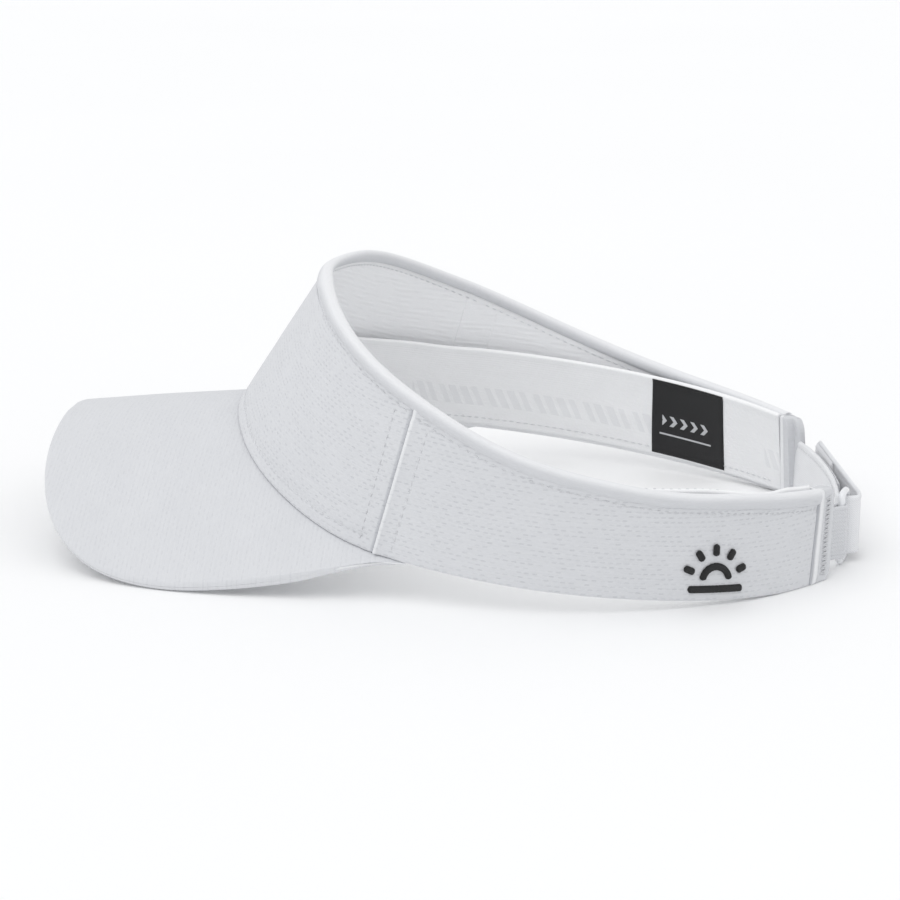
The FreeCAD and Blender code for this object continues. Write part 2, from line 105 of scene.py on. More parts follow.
SWEATBAND_SWELL = 0.0005
SWEATBAND_FOLD = 0.00030
FOOT_ROW = 0.0025
FOOT_GROOVE = 0.00012
BAR_PITCH = 0.0088               # the slanting bars woven into it
BAR_ZONE = (0.0072, 0.0138)
BAR_REACHES = ((-0.187, -0.090), (-0.250, -0.226))

LABEL_ANGLES = (-107.0, -124.0)
LABEL_SPAN = (0.03, 0.97)        # shares of the sweatband's height
LABEL_HEIGHT_SHARE = 0.94
LABEL_THICKNESS = 0.00045
LABEL_GAP = 0.00006
LABEL_ROLL = 0.0008
LABEL_PUFF = 0.00022
LABEL_GREY = (0.62, 0.63, 0.65)
EMBLEM_ANGLES = (117.4, 129.4)
EMBLEM_FROM_EDGE = 0.0026
STROKE_WIDTH = 0.0022
STROKE_HEIGHT = 0.0007
STROKE_SINK = 0.0001
STROKE_SIDES = 10
HORIZON = 0.0010                 # heights above the emblem's foot
SUN_HEIGHT = 0.0034
SUN_RADIUS = 0.0044
SUN_RAYS = (0.0075, 0.0112)

# ---- Brim ----
BRIM_LENGTH = 0.057
BRIM_HALF_WIDTH = 0.0809
BRIM_FLARE = 0.155
BRIM_SQUARENESS = 3.2
BRIM_CROWN_SLOPE = 0.043
BRIM_CROWN_DIP = 0.0030
BRIM_CROWN_AT = 0.100
BRIM_ARCH_DROP = 0.0373
BRIM_ARCH_AT = 0.090
BRIM_ARCH_POWER = 1.86
BRIM_ARCH_GAIN = 0.250
BRIM_ARCH_EXCESS = 0.0098        # the arch is this much longer than its half width
BRIM_COVER = 0.00048
BRIM_THICKNESS = 0.0028
BRIM_TUCK = 0.0025
BRIM_TUCK_DROP = 0.00035
BRIM_GAP = 0.00005
BRIM_CORE_GAP = 0.00003
BRIM_SWELL = 0.00012
BRIM_OUTLINE_LENGTH = 0.30
BRIM_COLUMN_STEP = 0.0020
BRIM_ROOT_ANGLE = 68.3
BRIM_END_SHARE = 0.99
BRIM_CORNER_TAPER = 0.070        # share of its outline over which the brim thins to its corner
BRIM_CORNER_THIN = 0.15

# ---- Closure, in plan from the centre of the band ----
TAB_PROUD = 0.0003
TAB_DEPTH = 0.0052
TAB_THIN_DEPTH = 0.0026
TAB_DROP = 0.0004
TAB_MIDDLE = 0.012
TAB_ROLL = 0.0009
BARTACK_SHARES = (0.41, 0.76)
BARTACK_STITCHES = 34
LEFT_TAB_ANGLES = (152.3, 158.5)
RIGHT_TAB_ANGLES = (145.2, 146.2)
STRAP_THICKNESS = 0.0013
STRAP_Z = (0.0026, 0.0211)
STRAP_ARC = ((-0.0530, 0.0752), (-0.0231, 0.0850), (0.0168, 0.0900))
STRAP_START_X = -0.0492
STRAP_INSET = 0.0022
STRAP_BOW = 0.00035
STRAP_ROWS = 26
TAIL_FREE_END = (-0.0510, 0.08445)
TAIL_BEND = (0.0080, 0.0956)
TURN_CENTRE = (0.0174, 0.09340)
TURN_RADIUS = 0.0034
PEEL_X = -0.0150
PEEL_SPREAD = 0.0050
PATCH_THICKNESS = 0.0014
PATCH_MARGIN = 0.0008
HOOK_PATCH_X = (-0.046, -0.021)
LOOP_PATCH_X = (-0.043, 0.004)
PILE_HEIGHT = 0.00022
PILE_LUMP = 0.0011
HOOK_PITCH = 0.0013
RING_Z = (0.0001, 0.0236)
RING_BAR_RADIUS = 0.0011
RING_CORNER_RADIUS = 0.0020
RING_SIDES = 24
PARTING_LINE = 0.00004
RING_ANCHOR = (0.0256, 0.0912)
RING_STRAP_BAR = (0.0182, 0.0928)
WEBBING_Z = (0.0028, 0.0196)
WEBBING_THICKNESS = 0.0010
WEBBING_CLEARANCE = 0.00012
WEBBING_ROOT = (0.0350, 0.0825)
WEBBING_PINCH = 5.0
WEBBING_RIBS = 13
RIB_DEPTH = 0.00022

# ---- Mesh spacing, thread and edges ----
ARC_STEP = 1.5
COLUMN_STEP = 0.0014
ROW_STEP = 0.0011
FINE_STEP = 0.0012
LINING_STEP = 0.0016
LABEL_STEP = 0.0008
TAB_STEP = 0.0006
COARSE_STEP = 0.0030
EDGE_STEPS = (0.0, 0.00012, 0.0003, 0.0006, 0.0010)
EDGE_ROLL = 0.0007
STITCH_PITCH = 0.0026
STITCH_LENGTH = 0.0019
THREAD_RADIUS = 0.00020
THREAD_RISE = 0.00013
THREAD_SINK = 0.00010
THREAD_SIDES = 6
DASH_PITCH = 0.0023
COURSE_PITCH = 0.00145
GROOVE_DEPTH = 0.00027
GROOVE_WIDTH = 0.0009
RIPPLE = 0.00030
RIPPLE_SIZE = (0.034, 0.026)
LINING_WAVE = 0.6                # share of the ripple that the lining shows
LINING_SHIFT = 0.5
LINING_GROOVE = 0.0002
SEAM_RIDGE_WIDTH = 0.0015
SEAM_RIDGE = 0.00085
SEAM_HOLLOW = 0.00012

# ---- Camera and light ----
CAMERA_AZIMUTH = 97.42
CAMERA_ELEVATION = 14.774
CAMERA_ROLL = 0.515
CAMERA_DISTANCE = 0.826512
CAMERA_LENS = 103.32
CAMERA_SENSOR = 36.0
CAMERA_CLIP = (0.05, 50.0)
CAMERA_TARGET = Vector((0.0, -0.002632, 0.024699))
FLOOR_HALF = 12.0
WORLD_COLOUR = (0.985, 0.99, 1.0)
WORLD_STRENGTH = 0.83
KEY_LIGHT = (36, 62, 60, 0.74)           # azimuth, elevation, softness and strength
FILL_LIGHT = (112, 38, 50, 0.06)


# ---- Shape of the band ----

UP = Vector((0, 0, 1))


def between(a, b, share):
    return a + (b - a) * share


def smooth(share):
    share = min(1.0, max(0.0, share))
    return share * share * (3 - 2 * share)


def ramp(value, start, end):
    return smooth((value - start) / (end - start))


def evenly(count):
    return [index / count for index in range(count + 1)]


def mirrored(angles):
    return (-angles[0], -angles[1])


def bumpy(x, y, z):
    """Smooth noise from about -1 to 1."""
    return noise.noise(Vector((x, y, z)))


def turned(degrees):
    """Unit vector in plan."""
    return Vector((math.cos(math.radians(degrees)), math.sin(math.radians(degrees))))


def at_height(spot, z=0.0):
    return Vector((spot.x, spot.y, z))


@lru_cache(maxsize=None)
def five_point(values, angle):
    """Smooth even curve round the band through values at 0, 45, 90, 135 and 180 degrees."""
    total = 0.0
    for harmonic in range(5):
        coefficient = 0.0
        for index, value in enumerate(values):
            weight = 0.5 if index in (0, 4) else 1.0
            coefficient += weight * value * math.cos(harmonic * index * math.pi / 4) / 2
        if harmonic in (0, 4):
            coefficient /= 2
        total += coefficient * math.cos(harmonic * math.radians(angle))
    return total


def band_normal(angle):
    t = math.radians(angle)
    dx = BAND_HALF_WIDTH * (math.cos(t) + BAND_FRONT_FULLNESS * math.cos(2 * t))
    dy = BAND_HALF_LENGTH * math.sin(t)
    return Vector((dy, -dx, 0)).normalized()


def band_plan(angle):
    """Point of the band's bottom outline."""
    t = math.radians(angle)
    x = BAND_HALF_WIDTH * math.sin(t) * (1 + BAND_FRONT_FULLNESS * math.cos(t))
    y = BAND_CENTRE_Y - BAND_HALF_LENGTH * math.cos(t)
    return Vector((x, y, 0))


@lru_cache(maxsize=None)
def band_height(angle):
    height = five_point(BAND_HEIGHTS, angle)
    height += LEFT_RISE * ramp(angle, *LEFT_RISE_ANGLES)
    return height - LEFT_FALL * ramp(angle, *LEFT_FALL_ANGLES)


@lru_cache(maxsize=None)
def arc_length(angle):
    """Distance round the band's outline from its front to an angle."""
    steps = max(1, int(abs(angle) / ARC_STEP))
    points = [band_plan(angle * index / steps) for index in range(steps + 1)]
    total = sum((b - a).length for a, b in zip(points, points[1:]))
    return math.copysign(total, angle)


BRIM_CORNER = band_plan(BRIM_CORNER_ANGLE)
BRIM_REACH = BRIM_CORNER.y - (BAND_CENTRE_Y - BAND_HALF_LENGTH - BRIM_LENGTH)


def brim_arch(x):
    return BRIM_ARCH_DROP * abs(x / BRIM_ARCH_AT) ** BRIM_ARCH_POWER


def brim_z(x, y):
    """Height of the brim's upper face."""
    forward = BRIM_CORNER.y - y
    crown = BRIM_CORNER_Z + brim_arch(BRIM_CORNER.x)
    crown -= BRIM_CROWN_SLOPE * forward + BRIM_CROWN_DIP * (forward / BRIM_CROWN_AT) ** 2
    return crown - brim_arch(x) * (1 + BRIM_ARCH_GAIN * forward / BRIM_REACH)


def bottom_z(angle, point):
    """Height of the band's bottom edge: on the brim in front, curving down to the table behind."""
    away = abs(angle)
    if away < BRIM_CORNER_ANGLE:
        return brim_z(point.x, point.y)
    if away > REST_ANGLE:
        return 0.0
    share = (REST_ANGLE - away) / (REST_ANGLE - BRIM_CORNER_ANGLE)
    return BRIM_CORNER_Z * share ** BOTTOM_EDGE_POWER


@lru_cache(maxsize=None)
def column(low, top):
    """A line up the band's face: its bottom point, its rise, the way inwards and its height."""
    height = band_height(top)
    bottom = band_plan(low)
    bottom.z = bottom_z(low, bottom)
    lean = math.radians(five_point(BAND_LEANS, top))
    edge = band_plan(top)
    edge.z = bottom_z(top, edge)
    edge += (UP * math.cos(lean) - band_normal(top) * math.sin(lean)) * height
    inwards = -(band_normal(low) + band_normal(top)).normalized()
    return bottom, edge - bottom, inwards, height


def band_point(angles, up, depth):
    """Point up above the bottom edge and depth below the outer face, on a slanting column."""
    bottom, rise, inwards, height = column(*angles)
    return bottom + rise * (up / height) + inwards * depth


def ripple(s, up):
    """How far soft cloth stands out of its nominal face."""
    return RIPPLE * bumpy(s / RIPPLE_SIZE[0], up / RIPPLE_SIZE[1], 4.0)


def groove(distance, depth=GROOVE_DEPTH, width=GROOVE_WIDTH):
    """Cloth pulled in by a row of stitches."""
    return depth * math.exp(-(distance / width) ** 2)


def roll(distance, radius=EDGE_ROLL):
    """How far a folded edge curves back, at a distance from the edge."""
    if distance >= radius:
        return 0.0
    return radius - math.sqrt(radius ** 2 - (radius - distance) ** 2)


# ---- Mesh helpers ----

def place(piece, body, slot, *nodes):
    """Ride on a body and stand for CAD nodes; slot is not used."""
    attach(piece, body)
    if nodes:
        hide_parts(*nodes)


def finish_mesh(name, bm, material, marks=None, sharp=50.0):
    """Object from a bmesh; marks are surface coordinates kept for the weave."""
    mesh = bpy.data.meshes.new(name)
    bmesh.ops.recalc_face_normals(bm, faces=bm.faces)
    bm.to_mesh(mesh)
    bm.free()
    if marks:
        attribute = mesh.attributes.new("cloth", "FLOAT_VECTOR", "POINT")
        attribute.data.foreach_set("vector", [value for mark in marks for value in mark])
    mesh.shade_smooth()
    mesh.set_sharp_from_angle(angle=math.radians(sharp))
    mesh.materials.append(MATERIALS[material])
    piece = bpy.data.objects.new(name, mesh)
    bpy.context.scene.collection.objects.link(piece)
    return piece


def tube(bm, rings, closed_path=False):
    """Faces from each closed ring of vertices to the next, with a cap on both ends."""
    pairs = list(zip(rings, rings[1:]))
    if closed_path:
        pairs.append((rings[-1], rings[0]))
    else:
        bm.faces.new(rings[0])
        bm.faces.new(rings[-1][::-1])
    for ring, following in pairs:
        for index in range(len(ring)):
            after = (index + 1) % len(ring)
            bm.faces.new((ring[index], ring[after], following[after], following[index]))


def skin(name, sections, material, sharp=50.0, closed_path=False):
    """Mesh over closed sections of (point, mark) pairs, all with the same number of points."""
    bm = bmesh.new()
    sections = [list(section) for section in sections]
    tube(bm, [[bm.verts.new(point) for point, mark in section] for section in sections], closed_path)
    return finish_mesh(name, bm, material, [mark for section in sections for point, mark in section], sharp)


def loft(name, shares, section, finish, sharp, body, slot, *nodes):
    """Placed piece whose section(share) yields the (point, mark) pairs round it."""
    place(skin(name, map(section, shares), finish, sharp), body, slot, *nodes)


def spread(length, step):
    """Shares from 0 to 1, close together near both ends."""
    near = [distance / length for distance in EDGE_STEPS]
    first = near[-1]
    count = max(2, round(length * (1 - 2 * first) / step))
    middle = [first + (1 - 2 * first) * index / count for index in range(1, count)]
    return near + middle + [1 - share for share in reversed(near)]


def walk(path):
    """Along a plan path: each point, the way to its left and the distance travelled."""
    travelled = 0.0
    for index, point in enumerate(path):
        if index:
            travelled += (point - path[index - 1]).length
        ahead = (path[min(index + 1, len(path) - 1)] - path[max(index - 1, 0)]).normalized()
        yield point, Vector((-ahead.y, ahead.x)), travelled


def add_thread(bm, marks, start, end, outwards, radius=THREAD_RADIUS, rise=THREAD_RISE, sink=THREAD_SINK):
    """One stitch: a short arched length of thread whose ends dip into the cloth."""
    along = end - start
    side = along.cross(outwards).normalized()
    rings = []
    for share in evenly(THREAD_SIDES):
        swell = math.sin(math.pi * share)
        centre = start + along * share + outwards * (rise * swell - sink * (1 - swell))
        size = radius * (0.55 + 0.45 * swell)
        ring = []
        for index in range(THREAD_SIDES):
            turn = 2 * math.pi * index / THREAD_SIDES
            offset = side * math.cos(turn) + outwards * math.sin(turn)
            ring.append(bm.verts.new(centre + offset * size))
            marks.append((along.length * share, radius * turn, 0.0))
        rings.append(ring)
    tube(bm, rings)


def sew(name, threads, finish, body, *nodes):
    """One piece of stitches, each (start, end, outwards) and perhaps its radius, rise and sink."""
    bm = bmesh.new()
    marks = []
    for thread in threads:
        add_thread(bm, marks, *thread)
    place(finish_mesh(name, bm, finish, marks, 80.0), body, finish, *nodes)


def row_along(surface, length):
    """Stitches along surface(share), which gives a point and the outward direction there."""
    count = max(1, int(length / STITCH_PITCH))
    half = 0.5 * STITCH_LENGTH / STITCH_PITCH
    row = []
    for index in range(count):
        start, outwards = surface((index + 0.5 - half) / count)
        row.append((start, surface((index + 0.5 + half) / count)[0], outwards))
    return row


# ---- Materials ----

class Signal:
    """A number that varies over a surface; operators on it add shader nodes."""

    def __init__(self, shader, socket):
        self.shader = shader
        self.socket = socket

    def __add__(self, other):
        return self.shader.math("ADD", self, other)

    def __sub__(self, other):
        return self.shader.math("SUBTRACT", self, other)

    def __rsub__(self, other):
        return self.shader.math("SUBTRACT", other, self)

    def __mul__(self, other):
        return self.shader.math("MULTIPLY", self, other)

    def __pow__(self, other):
        return self.shader.math("POWER", self, other)

    def __abs__(self):
        return self.shader.math("ABSOLUTE", self)

    def larger(self, other):
        return self.shader.math("MAXIMUM", self, other)

    def wave(self, pitch):
        """Sine of a coordinate, from -1 to 1, that repeats each pitch metres."""
        return self.shader.math("SINE", self * (2 * math.pi / pitch))

    def step(self, low, high):
        """Smooth step from 0 at low to 1 at high."""
        return self.shader.scaled(self, "From", low, high, "SMOOTHSTEP")

    def within(self, low, high, soft):
        return self.step(low - soft, low + soft) * (1.0 - self.step(high - soft, high + soft))


class Shader:
    """One material, with helpers for patterns drawn in the cloth's own coordinates."""

    def __init__(self, name, roughness=0.9, sheen=0.0, coat=0.0, specular=0.35):
        self.material = bpy.data.materials.new(name)
        self.material.use_nodes = True
        self.tree = self.material.node_tree
        self.surface = self.tree.nodes["Principled BSDF"].inputs
        self.surface["Roughness"].default_value = roughness
        self.surface["Sheen Weight"].default_value = sheen
        self.surface["Sheen Roughness"].default_value = 0.5
        self.surface["Coat Weight"].default_value = coat
        self.surface["Specular IOR Level"].default_value = specular
        self.cloth = self.node("ShaderNodeAttribute", attribute_name="cloth").outputs["Vector"]
        split = self.node("ShaderNodeSeparateXYZ", {0: self.cloth})
        self.along, self.up, self.part = (Signal(self, socket) for socket in split.outputs)

    def node(self, kind, inputs=None, **settings):
        """New node with its settings; inputs take numbers, colours, sockets or signals."""
        made = self.tree.nodes.new(kind)
        for key, value in settings.items():
            setattr(made, key, value)
        for key, value in (inputs or {}).items():
            self.feed(made.inputs[key], value)
        return made

    def feed(self, socket, value):
        value = value.socket if isinstance(value, Signal) else value
        if isinstance(value, bpy.types.NodeSocket):
            self.tree.links.new(value, socket)
        else:
            socket.default_value = value

    def math(self, operation, *values):
        made = self.node("ShaderNodeMath", dict(enumerate(values)), operation=operation)
        return Signal(self, made.outputs[0])

    def scaled(self, value, side, low, high, kind="LINEAR"):
        """Map a value from, or to, a range that starts at low and ends at high."""
        inputs = {"Value": value, side + " Min": low, side + " Max": high}
        return Signal(self, self.node("ShaderNodeMapRange", inputs, interpolation_type=kind).outputs[0])

    def grain(self, along, up, detail=2.0):
        """Noise in cloth coordinates, with the size of its grain each way in metres."""
        stretch = self.node("ShaderNodeVectorMath", {0: self.cloth, 1: (1 / along, 1 / up, 37.0)},
                            operation="MULTIPLY")
        return self.cloudy(stretch.outputs[0], 1.0, detail)

    def cloudy(self, place_at, scale, detail=2.0):
        made = self.node("ShaderNodeTexNoise", {"Vector": place_at, "Scale": scale, "Detail": detail})
        return Signal(self, made.outputs[0])

    def mottle(self, scale):
        """Noise in the object's own coordinates."""
        return self.cloudy(self.node("ShaderNodeTexCoord").outputs["Object"], scale)

    def cells(self, width, height):
        """Staggered cells: position inside a cell both ways, from -0.5 to 0.5, and its random value."""
        row = self.up * (1 / height)
        row_index = self.math("FLOOR", row)
        place_along = self.along * (1 / width) + self.math("MODULO", abs(row_index), 2.0) * 0.5
        x = self.math("FRACT", place_along) - 0.5
        y = self.math("FRACT", row) - 0.5
        key = self.node("ShaderNodeCombineXYZ", {0: self.math("FLOOR", place_along), 1: row_index})
        random = self.node("ShaderNodeTexWhiteNoise", {"Vector": key.outputs[0]}, noise_dimensions="2D")
        return x, y, Signal(self, random.outputs["Value"])

    def finish(self, colours, height=None, rough=None, strength=1.0):
        """The material: colours (base, other, share), height in millimetres, rough (low, high, share)."""
        base, other, share = colours
        inputs = {"Factor": share, "A": (*base, 1), "B": (*other, 1)}
        mix = self.node("ShaderNodeMix", inputs, data_type="RGBA")
        self.feed(self.surface["Base Color"], mix.outputs["Result"])
        if height:
            inputs = {"Strength": strength, "Distance": 0.001, "Height": height}
            self.feed(self.surface["Normal"], self.node("ShaderNodeBump", inputs).outputs[0])
        if rough:
            self.feed(self.surface["Roughness"], self.scaled(rough[2], "To", rough[0], rough[1]))
        return self.material


WHITE = (0.668, 0.677, 0.700)
SHADE = (0.50, 0.512, 0.540)
INNER_WHITE = (0.815, 0.825, 0.845)
# lightest white: the knits' painted highlights mix all the way to it, and the strap's inner layer takes it
# as its base
CREST_WHITE = (0.880, 0.886, 0.900)
# partly the tricot's own tone, partly painted light: brightened to stand in for light reaching the band's
# shaded inside
LINING_WHITE = (0.910, 0.915, 0.928)
# painted shade: a slightly darker copy of the strap's white for its outer layer and free end
SHADED_STRAP_WHITE = (0.865, 0.872, 0.888)
WEBBING_WHITE = (0.730, 0.738, 0.760)
# partly the elastic's own tone, partly painted light: brightened to stand in for light reaching the band's
# shaded inside
ELASTIC_WHITE = (0.940, 0.944, 0.952)
BLACK = (0.004, 0.004, 0.005)


def knit(name, hole_depth, hole_shade, rib, accent=None):
    """Mock-mesh knit: short sunk dashes in staggered rows over fine courses of yarn.

    accent "crease" adds a painted highlight along the folded edge of a side seam and a painted shadow on the
    cloth in front of it;
    "crest" adds a painted highlight along the top of a hem and along a tab's fold strip, and painted shade
    where a tab meets its panel.
    """
    shader = Shader(name, roughness=0.88, sheen=0.18)
    x, y, random = shader.cells(DASH_PITCH, COURSE_PITCH)
    past = (abs(x + (random - 0.5) * 0.30) - 0.19).larger(0.0)
    distance = shader.math("SQRT", (past * 2.3) ** 2.0 + (y * 1.885) ** 2.0)
    hole = (1.0 - distance.step(0.06, 0.42)) * random.step(-0.25, 0.95)
    course = shader.up.wave(COURSE_PITCH)
    yarn = shader.grain(0.00042, 0.00030)
    streak = shader.grain(0.0060, 0.00050)
    broad = shader.grain(0.02, 0.012, 3.0)
    shade = hole * hole_shade + yarn * 0.10 + broad * 0.10 + streak * 0.16 + 0.36
    if accent == "crease":
        # painted highlight on the side panel's folded seam edge, painted shadow on the front panel just in
        # front of the seam
        shade += shader.part.within(0.0, 0.0010, 0.0003) * -0.34
        shade += shader.part.within(-0.0011, -0.0001, 0.0004) * 0.32
    elif accent == "crest":
        # painted highlight where the third mark is near 0 (hem top, tab fold strip), painted shade where it
        # reaches 2 (where a tab meets its panel)
        shade = shade + shader.part.step(0.20, 0.62) * 0.46 + shader.part.step(1.2, 1.9) * 0.60 + -0.42
    height = hole * -hole_depth + course * rib + yarn * 0.05 + streak * (rib * 4) + broad * 0.10
    return shader.finish((CREST_WHITE, SHADE, shade), height, (0.80, 0.96, yarn))


def lining_material():
    """Light tricot with fine wavy ribs that run round the band."""
    shader = Shader("lining", roughness=0.9, sheen=0.15)
    ribs = (shader.up + shader.grain(0.012, 0.006) * 0.0016).wave(0.0019)
    rib = ribs * shader.grain(0.006, 0.0019, 1.0).step(0.42, 0.60)
    yarn = shader.grain(0.0005, 0.0004)
    shade = rib * -0.05 + yarn * 0.16 + 0.02
    return shader.finish((LINING_WHITE, SHADE, shade), rib * 0.05 + yarn * 0.04, (0.82, 0.96, yarn))


def woven_material(name, base, pitch, depth, sheen=0.1, diagonal=0.0):
    """Plain or twill weave: warp and weft yarns that cross at a pitch."""
    shader = Shader(name, roughness=0.85, sheen=sheen)
    warp = (shader.along + shader.up * diagonal).wave(pitch)
    weft = shader.up.wave(pitch)
    weave = warp * 0.7 + weft * 0.3 if diagonal else warp * weft
    fuzz = shader.grain(0.0004, 0.0004)
    tone = weave * 0.12 + fuzz * 0.18 + shader.grain(0.010, 0.008) * 0.14
    return shader.finish((base, SHADE, tone), weave * depth + fuzz * 0.04, (0.74, 0.94, fuzz))


def sweatband_material():
    """Fine ribbed elastic with a band of slanting tone-on-tone bars on the wearer's right, and a painted
    highlight along its rolled top edge.
    """
    shader = Shader("sweatband", roughness=0.86, sheen=0.2)
    ribs = shader.up.wave(0.0008)
    twill = (shader.along + shader.up * 1.5).wave(0.0009)
    fuzz = shader.grain(0.0005, 0.0005)
    slant = shader.along + shader.up * -0.45
    bars = abs(slant.wave(BAR_PITCH)).step(0.45, 0.60) * abs(slant.wave(4 * BAR_PITCH)).step(0.22, 0.30)
    zone = shader.up.within(*BAR_ZONE, 0.0002)
    right, rear = (shader.part.within(*reach, 0.0003) for reach in BAR_REACHES)
    printed = bars * zone * right.larger(rear)
    tone = printed * 0.16 + fuzz * 0.12 + shader.grain(0.018, 0.008) * 0.12
    # painted highlight along the sweatband's rolled top edge
    tone += shader.up.step(0.0268, 0.0274) * -0.2
    relief = (ribs * 0.020 + twill * 0.016 + fuzz * 0.04) * (1.0 - printed * 0.8) + printed * 0.05
    return shader.finish((ELASTIC_WHITE, SHADE, tone + 0.07), relief, (0.92, 0.55, printed))


def label_material():
    """Black satin label woven with a plain device: a row of chevrons over a thin rule."""
    shader = Shader("label", roughness=0.6, sheen=0.1, specular=0.4)
    satin = (shader.along + shader.up * 0.5).wave(0.00042)
    arrow = (shader.along + abs(shader.up - 0.0126) * 0.9).wave(0.0042)
    chevrons = arrow.step(0.30, 0.45) * shader.up.within(0.0108, 0.0144, 0.0001)
    chevrons *= shader.along.within(0.0042, 0.0230, 0.0001)
    rule = shader.up.within(0.0074, 0.0080, 0.0001) * shader.along.within(0.0032, 0.0240, 0.0001)
    marks = chevrons.larger(rule)
    fuzz = shader.grain(0.0004, 0.0004)
    relief = satin * 0.035 + shader.up.wave(0.00036) * 0.03 + marks * 0.08
    return shader.finish((BLACK, LABEL_GREY, marks * 0.9 + fuzz * 0.012), relief, (0.50, 0.75, fuzz))


def thread_material(name, base, shade, pitch, depth, roughness, sheen):
    """Twisted thread: fine plies that wind round its length."""
    shader = Shader(name, roughness=roughness, sheen=sheen, specular=0.5)
    plies = (shader.along + shader.up * 0.7).wave(pitch)
    fuzz = shader.grain(0.0003, 0.0003)
    tone = plies * -0.22 + fuzz * 0.3 + 0.12
    rough = (roughness - 0.1, roughness + 0.1, fuzz)
    return shader.finish((base, shade, tone), plies * depth + fuzz * 0.02, rough)


def pile_material():
    """Brushed loop pile."""
    shader = Shader("loop_pile", roughness=0.98, sheen=0.6)
    fluff = shader.grain(0.0007, 0.0007, 4.0)
    clumps = shader.grain(0.003, 0.003)
    tone = fluff * 0.5 + clumps * 0.2
    return shader.finish((WHITE, SHADE, tone), fluff * 0.35 + clumps * 0.25, (0.9, 1.0, fluff))


def plastic_material(name, base, shade, roughness, coat, grain):
    """Moulded plastic with a faint skin and flow variation."""
    shader = Shader(name, roughness=roughness, coat=coat, specular=0.5)
    flow = shader.mottle(120.0)
    rough = (roughness - 0.08, roughness + 0.10, flow)
    return shader.finish((base, shade, flow * 0.25), shader.mottle(1 / grain) * 0.03, rough, 0.6)


def floor_material():
    shader = Shader("floor", roughness=0.7)
    return shader.finish(((0.975, 0.978, 0.98), (0.955, 0.958, 0.96), shader.mottle(3.0)))


MATERIALS = {
    "panel_knit": knit("panel_knit", 0.085, 0.20, 0.016, "crease"),
    "hem_knit": knit("hem_knit", 0.02, 0.04, 0.012, "crest"),
    "brim_knit": knit("brim_knit", 0.04, 0.09, 0.008),
    "lining": lining_material(),
    "buckram": woven_material("buckram", (0.72, 0.72, 0.70), 0.0012, 0.12),
    "sweatband": sweatband_material(),
    "label": label_material(),
    "black_thread": thread_material("black_thread", BLACK, (0.02, 0.02, 0.021), 0.00036, 0.10, 0.6, 0.05),
    "white_thread": thread_material("white_thread", INNER_WHITE, SHADE, 0.00045, 0.05, 0.7, 0.2),
    # strap's white is partly painted light, raised so its shaded faces between the layers read bright; the
    # next entry is a darker copy of it for the outer layer and free end (painted shade)
    "strap": woven_material("strap", CREST_WHITE, 0.0007, 0.035, 0.2, 1.0),
    "strap_outer_shaded": woven_material("strap_outer_shaded", SHADED_STRAP_WHITE, 0.0007, 0.035, 0.2, 1.0),
    "webbing": woven_material("webbing", WEBBING_WHITE, 0.0009, 0.06),
    "loop_pile": pile_material(),
    "hook_tape": plastic_material("hook_tape", (0.88, 0.885, 0.90), (0.80, 0.81, 0.83), 0.45, 0.1, 0.0012),
    "ring_plastic": plastic_material("ring_plastic", (0.84, 0.85, 0.87), (0.76, 0.77, 0.80), 0.25, 0.5,
                                     0.0016),
    "brim_board": plastic_material("brim_board", (0.80, 0.81, 0.82), (0.70, 0.71, 0.73), 0.55, 0.0, 0.002),
    "floor": floor_material(),
}


# ---- Band cloth ----

class Panel:
    """A stretch of band cloth between slanting ends; seams says which ends are sewn to another panel."""

    def __init__(self, starts, ends, seams=(), lift=0.0):
        self.starts = starts
        self.ends = ends
        self.seams = seams
        self.lift = lift
        self.first = (arc_length(starts[0]) + arc_length(starts[1])) / 2
        self.last = (arc_length(ends[0]) + arc_length(ends[1])) / 2
        self.length = abs(self.last - self.first)

    def angles(self, share):
        return tuple(between(a, b, share) for a, b in zip(self.starts, self.ends))

    def along(self, share):
        return between(self.first, self.last, share)

    def height(self, share):
        return band_height(self.angles(share)[1])

    def seam_distance(self, share):
        """Distance from the nearest seam: behind it counts as positive, in front of it as negative."""
        if not self.seams:
            return self.length
        nearest = min(abs(share - end) for end in self.seams) * self.length
        return nearest if len(self.seams) == 1 else -nearest

    def face(self, share, up):
        """Depth of the outer cloth's face: rolled edges, stitched-in rows and a raised seam."""
        depth = roll(up) - ripple(self.along(share), up)
        depth += groove(self.height(share) - up - HEM_ROW)
        if self.starts[0] * self.ends[0] < 0:
            depth += groove(up - BRIM_ROW)
        for end in self.seams:
            distance = abs(share - end) * self.length
            depth += roll(distance) + groove(distance - SEAM_ROW)
            depth -= self.lift * math.exp(-(distance / SEAM_RIDGE_WIDTH) ** 2)
        if len(self.seams) == 1:
            depth += roll((1 - share) * self.length)
        return depth

    def wavy(self, share, up):
        """Depth of the lining before it is sewn in."""
        return LINING_DEPTH + LINING_WAVE * ripple(self.along(share) + LINING_SHIFT, up)

    def lining_face(self, share, up):
        """Depth of the lining's visible face: slightly wavy, pulled in at the hem row."""
        return self.wavy(share, up) - groove(self.height(share) - up - HEM_ROW, LINING_GROOVE)

    def on_face(self, share, up):
        """Point and outward direction on the outer cloth."""
        angles = self.angles(share)
        return band_point(angles, up, self.face(share, up)), -column(*angles)[2]

    def on_lining(self, share, up):
        angles = self.angles(share)
        return band_point(angles, up, self.lining_face(share, up)), column(*angles)[2]


FRONT = Panel(mirrored(SEAM_ANGLES), SEAM_ANGLES, (0, 1), -SEAM_HOLLOW)
LEFT = Panel(SEAM_ANGLES, LEFT_END_ANGLES, (0,), SEAM_RIDGE)
RIGHT = Panel(mirrored(SEAM_ANGLES), mirrored(RIGHT_END_ANGLES), (0,), SEAM_RIDGE)
WHOLE = Panel(mirrored(RIGHT_END_ANGLES), LEFT_END_ANGLES)


